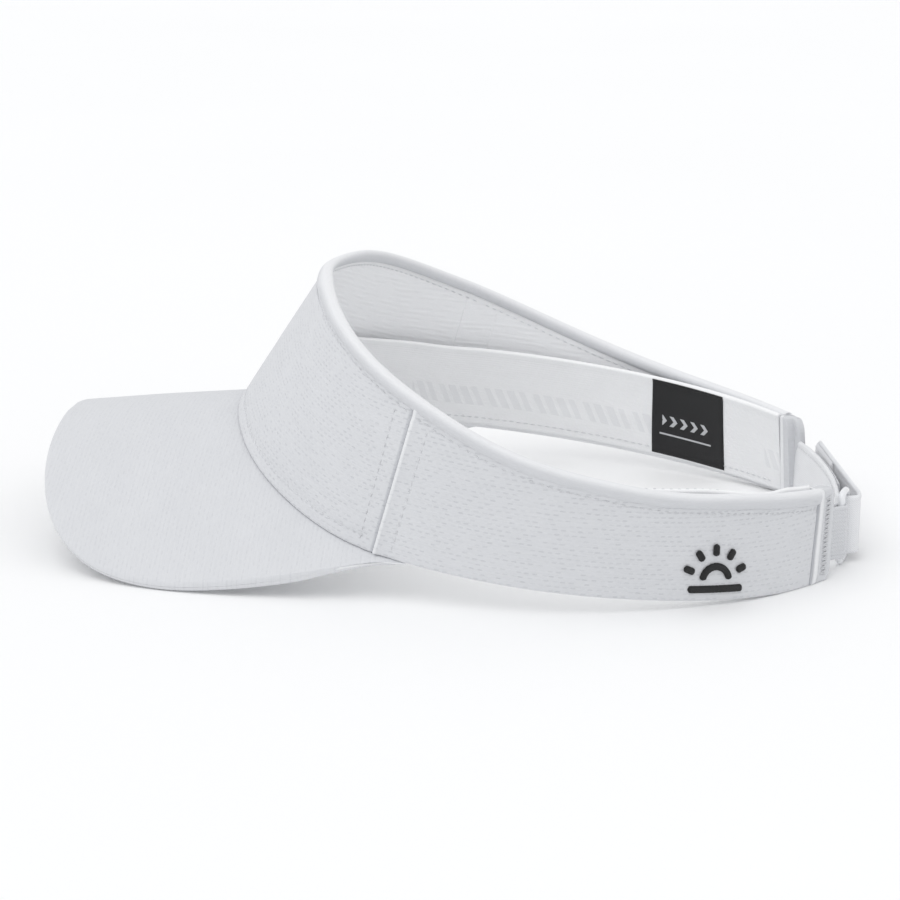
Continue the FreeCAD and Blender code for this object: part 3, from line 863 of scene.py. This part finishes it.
def level(depth):
    return lambda share, up: depth


def shell(name, panel, outer, inner, steps, finish, slot, node, drop=UNDER_BINDING):
    """Closed sheet of cloth whose faces are outer(share, up) and inner(share, up) deep.

    steps are the row spacings of the two faces and drop is how far it stops below the top edge.
    """
    outer_rows, inner_rows = (spread(panel.height(0.5), step) for step in steps)

    def section(share):
        angles = panel.angles(share)
        reach = panel.height(share) - drop
        for face, rows in ((outer, outer_rows), (inner, inner_rows[::-1])):
            for row in rows:
                up = row * reach
                # the third mark, the distance from a seam, places panel_knit's painted seam highlight and
                # painted shadow
                mark = (panel.along(share), up, panel.seam_distance(share))
                yield band_point(angles, up, face(share, up)), mark

    loft(name, spread(panel.length, COLUMN_STEP), section, finish, 50.0, "visor", slot, node)


def make_panels():
    fine, coarse = (ROW_STEP, COARSE_STEP), (COARSE_STEP, LINING_STEP)
    front, stiff, side = (level(depth) for depth in (FRONT_PANEL_DEPTH, BUCKRAM_DEPTH, SIDE_PANEL_DEPTH))
    shell("front_panel_cloth", FRONT, FRONT.face, front, fine, "panel_knit", "white_knit", "front_panel")
    shell("front_buckram_mesh", FRONT, front, stiff, (COARSE_STEP, COARSE_STEP), "buckram", "buckram",
          "front_buckram")
    for panel, name in ((LEFT, "left_side"), (RIGHT, "right_side")):
        shell(name + "_cloth", panel, panel.face, side, fine, "panel_knit", "white_knit", name + "_panel")
        shell(name + "_lining_cloth", panel, side, panel.lining_face, coarse, "lining", "lining",
              name + "_lining")
    shell("front_lining_cloth", FRONT, stiff, FRONT.lining_face, coarse, "lining", "lining", "front_lining")


def make_seam_tapes():
    half = math.degrees(SEAM_TAPE_WIDTH / 2 / BAND_HALF_LENGTH)
    for side, name in ((1, "left"), (-1, "right")):
        starts, ends = (tuple(side * (angle + shift) for angle in SEAM_ANGLES) for shift in (-half, half))
        tape = Panel(starts, ends)

        def crown(share, up, tape=tape):
            edge = min(share, 1 - share) * tape.length
            return tape.wavy(share, up) + TAPE_STEP - roll(edge, TAPE_STEP)

        under, steps = level(LINING_DEPTH - TAPE_SINK), (COARSE_STEP, ROW_STEP)
        shell(name + "_seam_tape_cloth", tape, under, crown, steps, "lining", "seam_tape",
              name + "_seam_tape", TAPE_DROP)


def make_hem():
    """Rolled hem over the top edge, pinched where the stitches pull on its foot."""
    front, back = -HEM_SKIN, LINING_DEPTH + HEM_SKIN
    high, low, turn_in = HEM_CROOK
    crook = [(front, low), (front, turn_in), (HEM_TUCK, high)]
    crook += [(LINING_DEPTH - HEM_TUCK, high), (back, turn_in), (back, low)]

    def section(share):
        angles, s, top = WHOLE.angles(share), WHOLE.along(share), WHOLE.height(share)
        pinch = HEM_PINCH * math.cos(2 * math.pi * s / STITCH_PITCH)
        soft = HEM_SOFTNESS * bumpy(s / 0.02, 0.0, 9.0)
        for step in evenly(HEM_STEPS):
            shoulder = step * 2 - 1
            turn = math.radians(shoulder * HEM_FOOT_ANGLE)
            out = math.copysign(abs(math.sin(turn)) ** 0.9, turn)
            reach = HEM_HALF_THICKNESS + soft + pinch * abs(shoulder) ** 3
            up = top - HEM_HEIGHT / 2 * (1 - math.cos(turn))
            # the third mark, 0 at the crest and 1 down the flanks, places the painted highlight along the
            # hem's top
            mark = (s, up + shoulder * 0.004, abs(shoulder))
            yield band_point(angles, up, LINING_DEPTH / 2 + out * reach), mark
        for depth, down in reversed(crook):
            yield band_point(angles, top - down, depth), (s, top - down, 1.0)

    shares = spread(WHOLE.length, COLUMN_STEP)
    loft("top_hem", shares, section, "hem_knit", 60.0, "visor", "binding", "top_binding")


def peek(angle):
    """How far the sweatband stands above the low part of the band."""
    start, full, fading, end = PEEK_LEFT_ANGLES
    return SWEATBAND_PEEK + PEEK_LEFT * (ramp(angle, start, full) * (1 - ramp(angle, fading, end)))


def sweatband_point(angles, share, depth):
    """Point of the sweatband's outer face, share of the way up, depth further in."""
    top = angles[1]
    raised = peek(top)
    dip = SWEATBAND_FRONT_DIP * (1 - ramp(abs(top), *SWEATBAND_DIP_ANGLES))
    full = SWEATBAND_RAISE + SWEATBAND_HEIGHT - dip + raised - SWEATBAND_PEEK
    up = between(SWEATBAND_RAISE, min(full, band_height(top) + raised), share)
    lean_in = between(SWEATBAND_FOOT, five_point(SWEATBAND_STANDOFFS, top), share)
    return band_point(angles, up, lean_in + depth)


def sweatband_face(s, share):
    """Depth of its inner face: a folded top edge, a soft swell and a stitched-in foot."""
    low, high = share * SWEATBAND_HEIGHT, (1 - share) * SWEATBAND_HEIGHT
    depth = SWEATBAND_THICKNESS + SWEATBAND_SWELL * bumpy(s / 0.045, share * 1.3, 2.0)
    depth += SWEATBAND_FOLD * math.exp(-((high - 0.0010) / 0.0008) ** 2)
    depth -= roll(high, 0.0008) + roll(low, 0.0006)
    return depth - groove(low - FOOT_ROW, FOOT_GROOVE)


def make_sweatband():
    rows, back_rows = spread(SWEATBAND_HEIGHT, FINE_STEP), spread(SWEATBAND_HEIGHT, COARSE_STEP)

    def section(share):
        angles, s = WHOLE.angles(share), WHOLE.along(share)
        for row in rows:
            yield sweatband_point(angles, row, sweatband_face(s, row)), (s, row * SWEATBAND_HEIGHT, s)
        for row in back_rows[::-1]:
            depth = roll((1 - row) * SWEATBAND_HEIGHT)
            yield sweatband_point(angles, row, depth), (s, row * SWEATBAND_HEIGHT, 0.0)

    shares = spread(WHOLE.length, COLUMN_STEP)
    loft("sweatband_elastic", shares, section, "sweatband", 60.0, "visor", "sweatband_elastic", "sweatband")

    def foot(t):
        share, row = between(0.01, 0.99, t), FOOT_ROW / SWEATBAND_HEIGHT
        angles = WHOLE.angles(share)
        return sweatband_point(angles, row, sweatband_face(WHOLE.along(share), row)), column(*angles)[2]

    def crest(t):
        angle = between(PEEK_LEFT_ANGLES[0] + 4, PEEK_LEFT_ANGLES[2] + 6, t)
        return sweatband_point((angle, angle), 0.995, SWEATBAND_THICKNESS * 0.45), UP

    crest_length = arc_length(PEEK_LEFT_ANGLES[2]) - arc_length(PEEK_LEFT_ANGLES[0])
    sew("sweatband_stitches", row_along(foot, WHOLE.length) + row_along(crest, crest_length), "white_thread",
        "visor")


def make_label():
    """Folded woven label on the sweatband, lying flat at its edges and corners."""
    width = arc_length(LABEL_ANGLES[0]) - arc_length(LABEL_ANGLES[1])
    height = SWEATBAND_HEIGHT * LABEL_HEIGHT_SHARE
    rows = spread(height, LABEL_STEP)

    def section(share):
        angle = between(*LABEL_ANGLES, share)
        for face, ordered in ((1, rows), (0, rows[::-1])):
            for row in ordered:
                level_up = between(*LABEL_SPAN, row)
                under = max(sweatband_face(arc_length(angle), level_up), SWEATBAND_THICKNESS - 0.0002)
                edge = min(min(share, 1 - share) * width, min(row, 1 - row) * SWEATBAND_HEIGHT)
                lift = LABEL_THICKNESS * face * (1 - 0.7 * roll(edge, LABEL_ROLL) / LABEL_ROLL)
                puff = LABEL_PUFF * math.sin(math.pi * share) * math.sin(math.pi * row)
                point = sweatband_point((angle, angle), level_up, under + LABEL_GAP + lift + puff)
                yield point, (share * width, row * height, 0.0)

    loft("side_label", spread(width, LABEL_STEP), section, "label", 60.0, "visor", "label", "woven_label")


# ---- Emblem ----

EMBLEM_MIDDLE = sum(EMBLEM_ANGLES) / 2
EMBLEM_WIDTH = arc_length(EMBLEM_ANGLES[1]) - arc_length(EMBLEM_ANGLES[0])


def emblem_point(x, v, lift):
    """Point of the left panel's face: x from the emblem's middle, v above its foot."""
    angle = EMBLEM_MIDDLE + x * ((EMBLEM_ANGLES[1] - EMBLEM_ANGLES[0]) / EMBLEM_WIDTH)
    up = EMBLEM_FROM_EDGE + v
    return band_point((angle, angle), up, -ripple(arc_length(EMBLEM_MIDDLE) + x, up) - lift)


def satin_stroke(bm, marks, path):
    """Raised stroke of close thread along a path of (x, v) points."""
    rings = []
    for index, (point, side, travelled) in enumerate(walk(path)):
        end = min(index, len(path) - 1 - index) / 3
        taper = math.sqrt(max(0.02, 1 - max(0.0, 1 - end) ** 2))
        ragged = 1 + 0.05 * bumpy(travelled / 0.0006, STROKE_WIDTH * 900, 1.0)
        ring = []
        for share in evenly(STROKE_SIDES):
            turn = math.pi * share
            spot = point + side * (math.cos(turn) * STROKE_WIDTH / 2 * taper * ragged)
            lift = STROKE_HEIGHT * math.sin(turn) ** 0.7 * taper - STROKE_SINK
            ring.append(bm.verts.new(emblem_point(spot.x, spot.y, lift)))
            marks.append((travelled, share * STROKE_WIDTH, 0.0))
        rings.append(ring)
    tube(bm, rings)


def make_emblem():
    """Satin-stitched half sun: a horizon, a low arc and five rays."""
    bm = bmesh.new()
    marks = []
    half = EMBLEM_WIDTH / 2 - STROKE_WIDTH / 2

    def run(start, end):
        return [start.lerp(end, share) for share in evenly(max(6, round((end - start).length / 0.0003)))]

    def spoke(angle, radius):
        return Vector((0, SUN_HEIGHT)) + turned(angle) * radius

    satin_stroke(bm, marks, run(Vector((-half, HORIZON)), Vector((half, HORIZON))))
    satin_stroke(bm, marks, [spoke(angle, SUN_RADIUS) for angle in range(4, 177, 4)])
    for angle in (22, 56, 90, 124, 158):
        satin_stroke(bm, marks, run(spoke(angle, SUN_RAYS[0]), spoke(angle, SUN_RAYS[1])))
    emblem = finish_mesh("sun_embroidery", bm, "black_thread", marks, 70.0)
    place(emblem, "visor", "embroidery_thread", "embroidered_emblem")


# ---- Brim ----

def brim_outline(share):
    """Point of the brim's edge; share runs from -1 at the right corner to 1 at the left one."""
    t = math.radians(90 * (1 - abs(share) * BRIM_END_SHARE))
    power = 2 / BRIM_SQUARENESS
    along = math.sin(t) ** power
    x = BRIM_HALF_WIDTH * math.cos(t) ** power * (1 + BRIM_FLARE * along)
    return Vector((math.copysign(x, share), BRIM_CORNER.y - BRIM_REACH * along, 0))


def brim_section(share, radius, near, far):
    """Half of a brim section: from under the band to its rim, then round the rim from near to far degrees.

    radius is the distance from the section's middle layer, and 0 and 180 degrees are its two faces.
    """
    root = band_plan(share * BRIM_ROOT_ANGLE)
    edge = brim_outline(share)
    outwards = (edge - root).normalized()
    taper = between(BRIM_CORNER_THIN, 1.0, smooth((1 - abs(share)) / BRIM_CORNER_TAPER))
    radius *= taper
    middle = BRIM_THICKNESS / 2 * taper
    reach = (edge - root).length - middle
    places = [(distance, near) for distance in [-BRIM_TUCK] + [reach * step / 30 for step in range(30)]]
    places += [(reach, between(near, far, step)) for step in evenly(5)]
    half = []
    for distance, turn in places:
        rim = radius * math.sin(math.radians(turn)) if distance == reach else 0.0
        flat = root + outwards * (max(distance, 0.0) + rim)
        drop = BRIM_GAP + middle - radius * math.cos(math.radians(turn))
        drop += BRIM_TUCK_DROP * (1 - smooth(distance / 0.004))
        spot = root + outwards * (distance + rim)
        swell = BRIM_SWELL * bumpy(spot.x / 0.018, spot.y / 0.018, 6.0) if distance > 0 else 0.0
        excess = BRIM_ARCH_EXCESS * (abs(spot.x) / BRIM_ARCH_AT) ** (2 * BRIM_ARCH_POWER - 1)
        mark = (spot.x + math.copysign(excess, spot.x), spot.y, 0.0)
        half.append((at_height(spot, brim_z(flat.x, flat.y) - drop + swell), mark))
    return half


def make_brim():
    """Three layers, each between an outer and an inner half section of (radius, near, far)."""
    face = BRIM_THICKNESS / 2
    under = face - BRIM_COVER
    core = under - BRIM_CORE_GAP
    cover = ("white_knit", "brim_knit")
    layers = (("brim_top_cloth", (face, 0, 86), (under, 0, 86), "brim_top_cover", *cover),
              ("brim_under_cloth", (face, 180, 90), (under, 180, 90), "brim_under_cover", *cover),
              ("brim_board_core", (core, 0, 90), (core, 180, 90), "brim_board", "brim_board", "brim_board"))
    shares = [2 * step - 1 for step in spread(BRIM_OUTLINE_LENGTH, BRIM_COLUMN_STEP)]
    for name, outer, inner, node, slot, finish in layers:
        sections = [brim_section(share, *outer) + brim_section(share, *inner)[::-1] for share in shares]
        place(skin(name, sections, finish), "visor", slot, node)


# ---- Stitch rows ----

def panel_rows(panel):
    """Stitches outside the hem, inside it and beside the side seams of one panel."""
    def hem(surface):
        def stitch(t):
            share = between(0.006, 0.994, t)
            return surface(share, panel.height(share) - HEM_ROW)
        return row_along(stitch, panel.length)

    seams = []
    for end in panel.seams:
        share = abs(end - SEAM_ROW / panel.length)
        reach = panel.height(share) - HEM_ROW - 0.0035
        seams += row_along(lambda t: panel.on_face(share, 0.0022 + reach * t), reach)
    return hem(panel.on_face), hem(panel.on_lining), seams


def make_stitching():
    names = ("hem_stitches_outside", "hem_stitches_inside", "side_seam_stitches")
    for name, rows in zip(names, zip(*[panel_rows(panel) for panel in (FRONT, LEFT, RIGHT)])):
        sew(name, sum(rows, []), "white_thread", "visor")
    over_brim = row_along(lambda t: FRONT.on_face(between(0.02, 0.98, t), BRIM_ROW), FRONT.length)
    sew("brim_seam_stitches", over_brim, "white_thread", "visor")


# ---- End tabs ----

def tab_relief(share):
    """Outer face of a tab: a turned-in fold, then a hollow under the bar tack."""
    hollow = ramp(share, 0.38, 0.45) * (1 - ramp(share, 0.76, 0.83))
    return groove(share - 0.33, 0.00030, 0.035) + 0.00022 * hollow - TAB_PROUD


def make_tab(side, starts, ends, thick_share, flare):
    """Cloth folded over the ends of a panel and its sweatband, with soft edges and a round rear corner.

    Behind thick_share of its width only the outer fold runs on, and flare carries its top further round.
    """
    tab = Panel(starts, ends)
    low, high = (band_point(tab.angles(share), TAB_MIDDLE, 0) for share in (0, 1))
    width = (high - low).length
    across = spread(width, TAB_STEP)

    def corner(row, size, reach):
        return size * (1 - min(1.0, row * SWEATBAND_HEIGHT / reach)) ** 2

    def on_tab(share, row, depth):
        rear = 1 - corner(row, 0.30, 0.0045) - corner(1 - row, 0.26, 0.0040) + flare * row ** 2
        placed = share * rear
        return band_point(tab.angles(placed), row * (tab.height(placed) - TAB_DROP), depth)

    def section(row):
        ease = roll(min(row, 1 - row) * SWEATBAND_HEIGHT, TAB_ROLL)
        for outer, ordered in ((True, across), (False, across[::-1])):
            for share in ordered:
                soft = roll(min(share, 1 - share) * width, TAB_ROLL) + ease
                inner = between(TAB_DEPTH, TAB_THIN_DEPTH, smooth((share - thick_share) / 0.08)) - soft
                # third mark for hem_knit: 2 gives painted shade where the tab meets its panel, 0 a painted
                # highlight on its fold strip, 1 plain cloth
                painted_light_level = 2.0 * (1 - ramp(share, 0.03, 0.08)) + ramp(share, 0.26, 0.34)
                mark = (share * width, row * SWEATBAND_HEIGHT, painted_light_level)
                yield on_tab(share, row, tab_relief(share) + soft if outer else inner), mark

    rows = spread(SWEATBAND_HEIGHT, FINE_STEP)
    loft(side + "_end_tab_cloth", rows, section, "hem_knit", 70.0, "visor", "white_knit", side + "_end_tab")

    outwards = -column(*tab.angles(0.5))[2]
    threads = []
    for index in range(BARTACK_STITCHES):
        shares = BARTACK_SHARES if index % 2 else BARTACK_SHARES[::-1]
        rows = [between(0.08, 0.92, (index + step) / BARTACK_STITCHES) for step in (0, 1)]
        ends = [on_tab(share, row, tab_relief(share) - 0.00008) for share, row in zip(shares, rows)]
        threads.append((*ends, outwards, 0.00024, 0.00012, 0.0001))
    sew(side + "_bartack_thread", threads, "white_thread", "visor", side + "_bartack")


# ---- Closure ----

def plan(pair):
    return Vector((pair[0], BAND_CENTRE_Y + pair[1]))


def circle_through(a, b, c):
    """Centre and radius of the circle through three plan points."""
    ax, ay = b - a
    bx, by = c - a
    scale = 2 * (ax * by - ay * bx)
    u, v = ax * ax + ay * ay, bx * bx + by * by
    centre = a + Vector((by * u - ay * v, ax * v - bx * u)) / scale
    return centre, (a - centre).length


STRAP_CENTRE, STRAP_RADIUS = circle_through(*[plan(pair) for pair in STRAP_ARC])
STRAP_END_X = STRAP_ARC[2][0]
STRAP_HALF = STRAP_THICKNESS / 2
STRAP_FACE = STRAP_HALF - 0.0001
TAIL_ALONG = (plan(TAIL_FREE_END) - plan(TAIL_BEND)).normalized()
TAIL_OUT = Vector((TAIL_ALONG.y, -TAIL_ALONG.x))


def strap_arc(x, offset=0.0):
    """Point of the inner layer."""
    y = STRAP_CENTRE.y + math.sqrt(STRAP_RADIUS ** 2 - (x - STRAP_CENTRE.x) ** 2)
    point = Vector((x, y))
    return point + (point - STRAP_CENTRE).normalized() * offset


def tail_line(x, offset=0.0):
    """Point of the straight outer layer."""
    start = plan(TAIL_BEND)
    return start + TAIL_ALONG * ((x - start.x) / TAIL_ALONG.x) + TAIL_OUT * offset


def x_steps(start, end, step):
    return [between(start, end, share) for share in evenly(max(2, round(abs(end - start) / step)))]


def sweep(name, path, section, finish):
    """Upright ribbon along a plan path; section(travelled, left) gives (offset, z, mark) round it."""
    total = sum((b - a).length for a, b in zip(path, path[1:]))

    def station(place_on_path):
        point, side, travelled = place_on_path
        for offset, z, mark in section(travelled, total - travelled):
            yield at_height(point + side * offset, z), (travelled, mark, 0.0)

    return skin(name, map(station, walk(path)), finish, 60.0)


def ribbon_section(low, high, half, rows, *faces):
    """Closed section of a ribbon; each face may add to the half thickness at a height share."""
    points = []
    for sign, face in zip((1, -1), (*faces, None, None)):
        for share in evenly(rows)[::sign]:
            edge = min(share, 1 - share) * (high - low)
            offset = half - roll(edge, half * 0.9) + (face(share) if face else 0.0)
            points.append((sign * offset, between(low, high, share), share * (high - low)))
    return points


def strap_bead(share):
    """Thicker turned edges of the strap with a stitched-in channel beside them."""
    edge = min(share, 1 - share) * (STRAP_Z[1] - STRAP_Z[0])
    return 0.00012 * math.exp(-((edge - 0.0009) / 0.0008) ** 2) - groove(edge - STRAP_INSET, 0.00014, 0.0005)


def strap_section(travelled, left):
    return ribbon_section(*STRAP_Z, STRAP_FACE, STRAP_ROWS, strap_bead, strap_bead)


def free_end_section(travelled, left):
    """The strap with round corners and a thin edge at its end."""
    corner = roll(left, 0.0060)
    half = STRAP_FACE * math.sqrt(max(0.05, 1 - max(0.0, 1 - left / 0.0005) ** 2))
    return ribbon_section(STRAP_Z[0] + corner, STRAP_Z[1] - corner, half, STRAP_ROWS, strap_bead, strap_bead)


def make_strap():
    inner = [strap_arc(x) for x in x_steps(STRAP_START_X, STRAP_END_X, FINE_STEP)]
    piece = sweep("strap_inner_layer", inner, strap_section, "strap")
    place(piece, "visor", "strap_webbing", "strap_inner")

    # The outer layer: round the ring's bar, back along the inner one and on to the lift-off line
    centre = plan(TURN_CENTRE)
    path = [strap_arc(STRAP_END_X + 0.00005)]
    path += [centre + turned(angle) * TURN_RADIUS for angle in range(-90, 91, 10)]
    top, meet = path[-1], tail_line(TAIL_BEND[0])
    path += [top.lerp(meet, share) + TAIL_OUT * (math.sin(math.pi * share) * STRAP_BOW)
             for share in evenly(8)[1:]]
    path += [tail_line(x) for x in x_steps(TAIL_BEND[0], PEEL_X, FINE_STEP)[1:]]
    piece = sweep("strap_outer_layer", path, strap_section, "strap_outer_shaded")
    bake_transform(piece)
    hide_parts("strap_fold", "strap_tail")

    total = PEEL_X - TAIL_FREE_END[0]
    lifted = [tail_line(PEEL_X - total * share) for share in spread(total, 0.0009)]
    piece = sweep("strap_free_end", lifted, free_end_section, "strap_outer_shaded")
    start = tail_line(PEEL_X)
    end = tail_line(PEEL_X - PEEL_SPREAD)
    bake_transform(piece)
    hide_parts("strap_tab")


def make_patches():
    """Loop pile on the inner layer and moulded hooks on the free end."""
    low, high = STRAP_Z[0] + PATCH_MARGIN, STRAP_Z[1] - PATCH_MARGIN
    base = PATCH_THICKNESS * 0.36

    def pile(travelled, left):
        def fluff(share):
            edge = min(share * (high - low), (1 - share) * (high - low), travelled, left)
            lump = bumpy(travelled / PILE_LUMP, share * (high - low) / PILE_LUMP, 3.0)
            return PILE_HEIGHT * (1 + lump) * smooth(edge / 0.001)
        return ribbon_section(low, high, base - 0.00002, 22, fluff)

    def backing(travelled, left):
        return ribbon_section(low, high, base - 0.00002, 14)

    path = [strap_arc(x, STRAP_HALF + base) for x in x_steps(*LOOP_PATCH_X, 0.0008)]
    place(sweep("loop_pile_patch", path, pile, "loop_pile"), "visor", "loop_pile", "loop_patch")
    path = [tail_line(x, -STRAP_HALF - base) for x in x_steps(*HOOK_PATCH_X, 0.0010)]
    place(sweep("hook_tape_patch", path, backing, "hook_tape"), "strap_tab", "hook_tape", "hook_patch")

    along = at_height(TAIL_ALONG)
    lean = at_height(-TAIL_OUT) * 0.00042 + along * 0.0003
    hooks = []
    for x in x_steps(HOOK_PATCH_X[0] + 0.001, HOOK_PATCH_X[1] - 0.001, HOOK_PITCH):
        for z in x_steps(low + 0.001, high - 0.001, HOOK_PITCH):
            start = at_height(tail_line(x, -STRAP_HALF - 2 * base + 0.0001), z)
            hooks.append((start, start + lean, along, 0.00013, 0.00012, 0.0))
    sew("hook_tape_hooks", hooks, "hook_tape", "strap_tab")


def make_strap_stitches():
    """Box of stitches round the hook patch, and the seams along the strap's turned edges."""
    low, high = STRAP_Z[0] + STRAP_INSET, STRAP_Z[1] - STRAP_INSET

    def row(line, depth, outwards, xs, zs, length):
        def surface(t):
            x = between(*xs, t)
            return at_height(line(x, depth), between(*zs, t)), outwards(x)
        return row_along(surface, length)

    def inwards(x):
        return at_height(strap_arc(x, -1) - strap_arc(x))

    def out(x):
        return at_height(TAIL_OUT)

    seam = (strap_arc, -STRAP_HALF + 0.00022, inwards, (STRAP_START_X + 0.004, STRAP_END_X - 0.002))
    rows = [row(*seam, (z, z), STRAP_END_X - STRAP_START_X) for z in (low, high)]
    sew("strap_inner_stitches", sum(rows, []), "white_thread", "visor")

    edge = (tail_line, STRAP_HALF - 0.00022, out, HOOK_PATCH_X[::-1])
    rows = [row(*edge, (z, z), HOOK_PATCH_X[1] - HOOK_PATCH_X[0]) for z in (low, high)]
    rows += [row(tail_line, STRAP_FACE, out, (x, x), (low, high), STRAP_Z[1] - STRAP_Z[0] - 2 * STRAP_INSET)
             for x in HOOK_PATCH_X]
    sew("strap_tab_stitches", sum(rows, []), "white_thread", "strap_tab")


def make_webbing():
    """Ribbed webbing folded round the ring's bar and sewn into the left tab."""
    root, bar = plan(WEBBING_ROOT), plan(RING_ANCHOR)
    along = (bar - root).normalized()
    side = Vector((-along.y, along.x))
    wrap = RING_BAR_RADIUS + WEBBING_CLEARANCE + WEBBING_THICKNESS / 2
    closed = WEBBING_THICKNESS / 2 + 0.00003
    start = math.degrees(math.atan2(side.y, side.x))

    def layer(sign, shares):
        """One of the two layers, which lie together until close to the bar."""
        return [root.lerp(bar, share) + side * sign * between(closed, wrap, share ** WEBBING_PINCH)
                for share in shares]

    def ribs(share):
        edge = min(share, 1 - share) * (WEBBING_Z[1] - WEBBING_Z[0])
        rib = abs(math.sin(math.pi * share * WEBBING_RIBS))
        return -RIB_DEPTH * (1 - rib) if edge > 0.0012 else 0.00004

    def section(travelled, left):
        return ribbon_section(*WEBBING_Z, WEBBING_THICKNESS / 2 - 0.00006, WEBBING_RIBS * 6, ribs, ribs)

    shares = evenly(12)[:-1]
    path = layer(1, shares) + [bar + turned(start - a) * wrap for a in range(0, 181, 12)]
    path += layer(-1, shares[::-1])
    piece = sweep("webbing_loop_ribbed", path, section, "webbing")
    place(piece, "visor", "ribbed_webbing", "webbing_loop")


def make_ring():
    """Moulded rectangular ring with a faint parting line."""
    anchor, strap_bar = plan(RING_ANCHOR), plan(RING_STRAP_BAR)
    along = (strap_bar - anchor).normalized()
    across = Vector((-along.y, along.x, 0))
    r = RING_CORNER_RADIUS
    low, high = RING_Z[0] + RING_BAR_RADIUS + r, RING_Z[1] - RING_BAR_RADIUS - r
    far = (strap_bar - anchor).length - r
    path = []
    for distance, z, start in ((far, low, -90), (far, high, 0), (r, high, 90), (r, low, 180)):
        for share in evenly(8):
            turn = turned(start + share * 90)
            path.append((distance + r * turn.x, z + r * turn.y))
    sections = []
    travelled = 0.0
    for index, (distance, z) in enumerate(path):
        before, after = path[index - 1], path[(index + 1) % len(path)]
        tangent = Vector((after[0] - before[0], after[1] - before[1])).normalized()
        outward = at_height(along * tangent.y, -tangent.x)
        centre = at_height(anchor + along * distance, z)
        travelled += math.dist(path[index], before) if index else 0.0
        section = []
        for step in range(RING_SIDES):
            turn = 2 * math.pi * step / RING_SIDES
            radius = RING_BAR_RADIUS + (PARTING_LINE if step % (RING_SIDES // 2) == 0 else 0.0)
            point = centre + (outward * math.cos(turn) + across * math.sin(turn)) * radius
            section.append((point, (travelled, RING_BAR_RADIUS * turn, 0.0)))
        sections.append(section)
    place(skin("ring_moulding", sections, "ring_plastic", 60.0, True), "ring", "ring_plastic", "slide_ring")


# ---- Stage ----

def view_back(azimuth, elevation):
    a, e = math.radians(azimuth), math.radians(elevation)
    return Vector((math.sin(a) * math.cos(e), -math.cos(a) * math.cos(e), math.sin(e)))


def make_camera():
    data = bpy.data.cameras.new("camera")
    data.lens = CAMERA_LENS
    data.sensor_width = CAMERA_SENSOR
    data.clip_start, data.clip_end = CAMERA_CLIP
    camera = bpy.data.objects.new("camera", data)
    bpy.context.scene.collection.objects.link(camera)
    back = view_back(CAMERA_AZIMUTH, CAMERA_ELEVATION)
    camera.location = CAMERA_TARGET + back * CAMERA_DISTANCE
    aim = (-back).to_track_quat("-Z", "Y").to_matrix().to_4x4()
    camera.rotation_euler = (aim @ Matrix.Rotation(math.radians(CAMERA_ROLL), 4, "Z")).to_euler()
    bpy.context.scene.camera = camera


def soft_sun(name, azimuth, elevation, softness, strength):
    """Wide, even studio light from one side."""
    data = bpy.data.lights.new(name, "SUN")
    data.angle = math.radians(softness)
    data.energy = strength
    light = bpy.data.objects.new(name, data)
    light.rotation_euler = (-view_back(azimuth, elevation)).to_track_quat("-Z", "Y").to_euler()
    bpy.context.scene.collection.objects.link(light)


def make_stage():
    bm = bmesh.new()
    corners = ((-1, -1), (1, -1), (1, 1), (-1, 1))
    bm.faces.new([bm.verts.new((x * FLOOR_HALF, y * FLOOR_HALF, 0)) for x, y in corners])
    finish_mesh("floor", bm, "floor")
    world = bpy.data.worlds.new("studio")
    world.use_nodes = True
    world.node_tree.nodes["Background"].inputs["Color"].default_value = (*WORLD_COLOUR, 1)
    world.node_tree.nodes["Background"].inputs["Strength"].default_value = WORLD_STRENGTH
    bpy.context.scene.world = world
    bpy.context.scene.view_settings.view_transform = "Standard"
    soft_sun("key", *KEY_LIGHT)
    soft_sun("fill", *FILL_LIGHT)


make_camera()
make_stage()
make_panels()
make_seam_tapes()
make_hem()
make_sweatband()
make_label()
make_emblem()
make_brim()
make_stitching()
make_tab("left", LEFT_END_ANGLES, LEFT_TAB_ANGLES, 1.0, 0.42)
make_tab("right", mirrored(RIGHT_END_ANGLES), mirrored(RIGHT_TAB_ANGLES), 0.60, 0.0)
make_strap()
make_patches()
make_strap_stitches()
make_webbing()
make_ring()
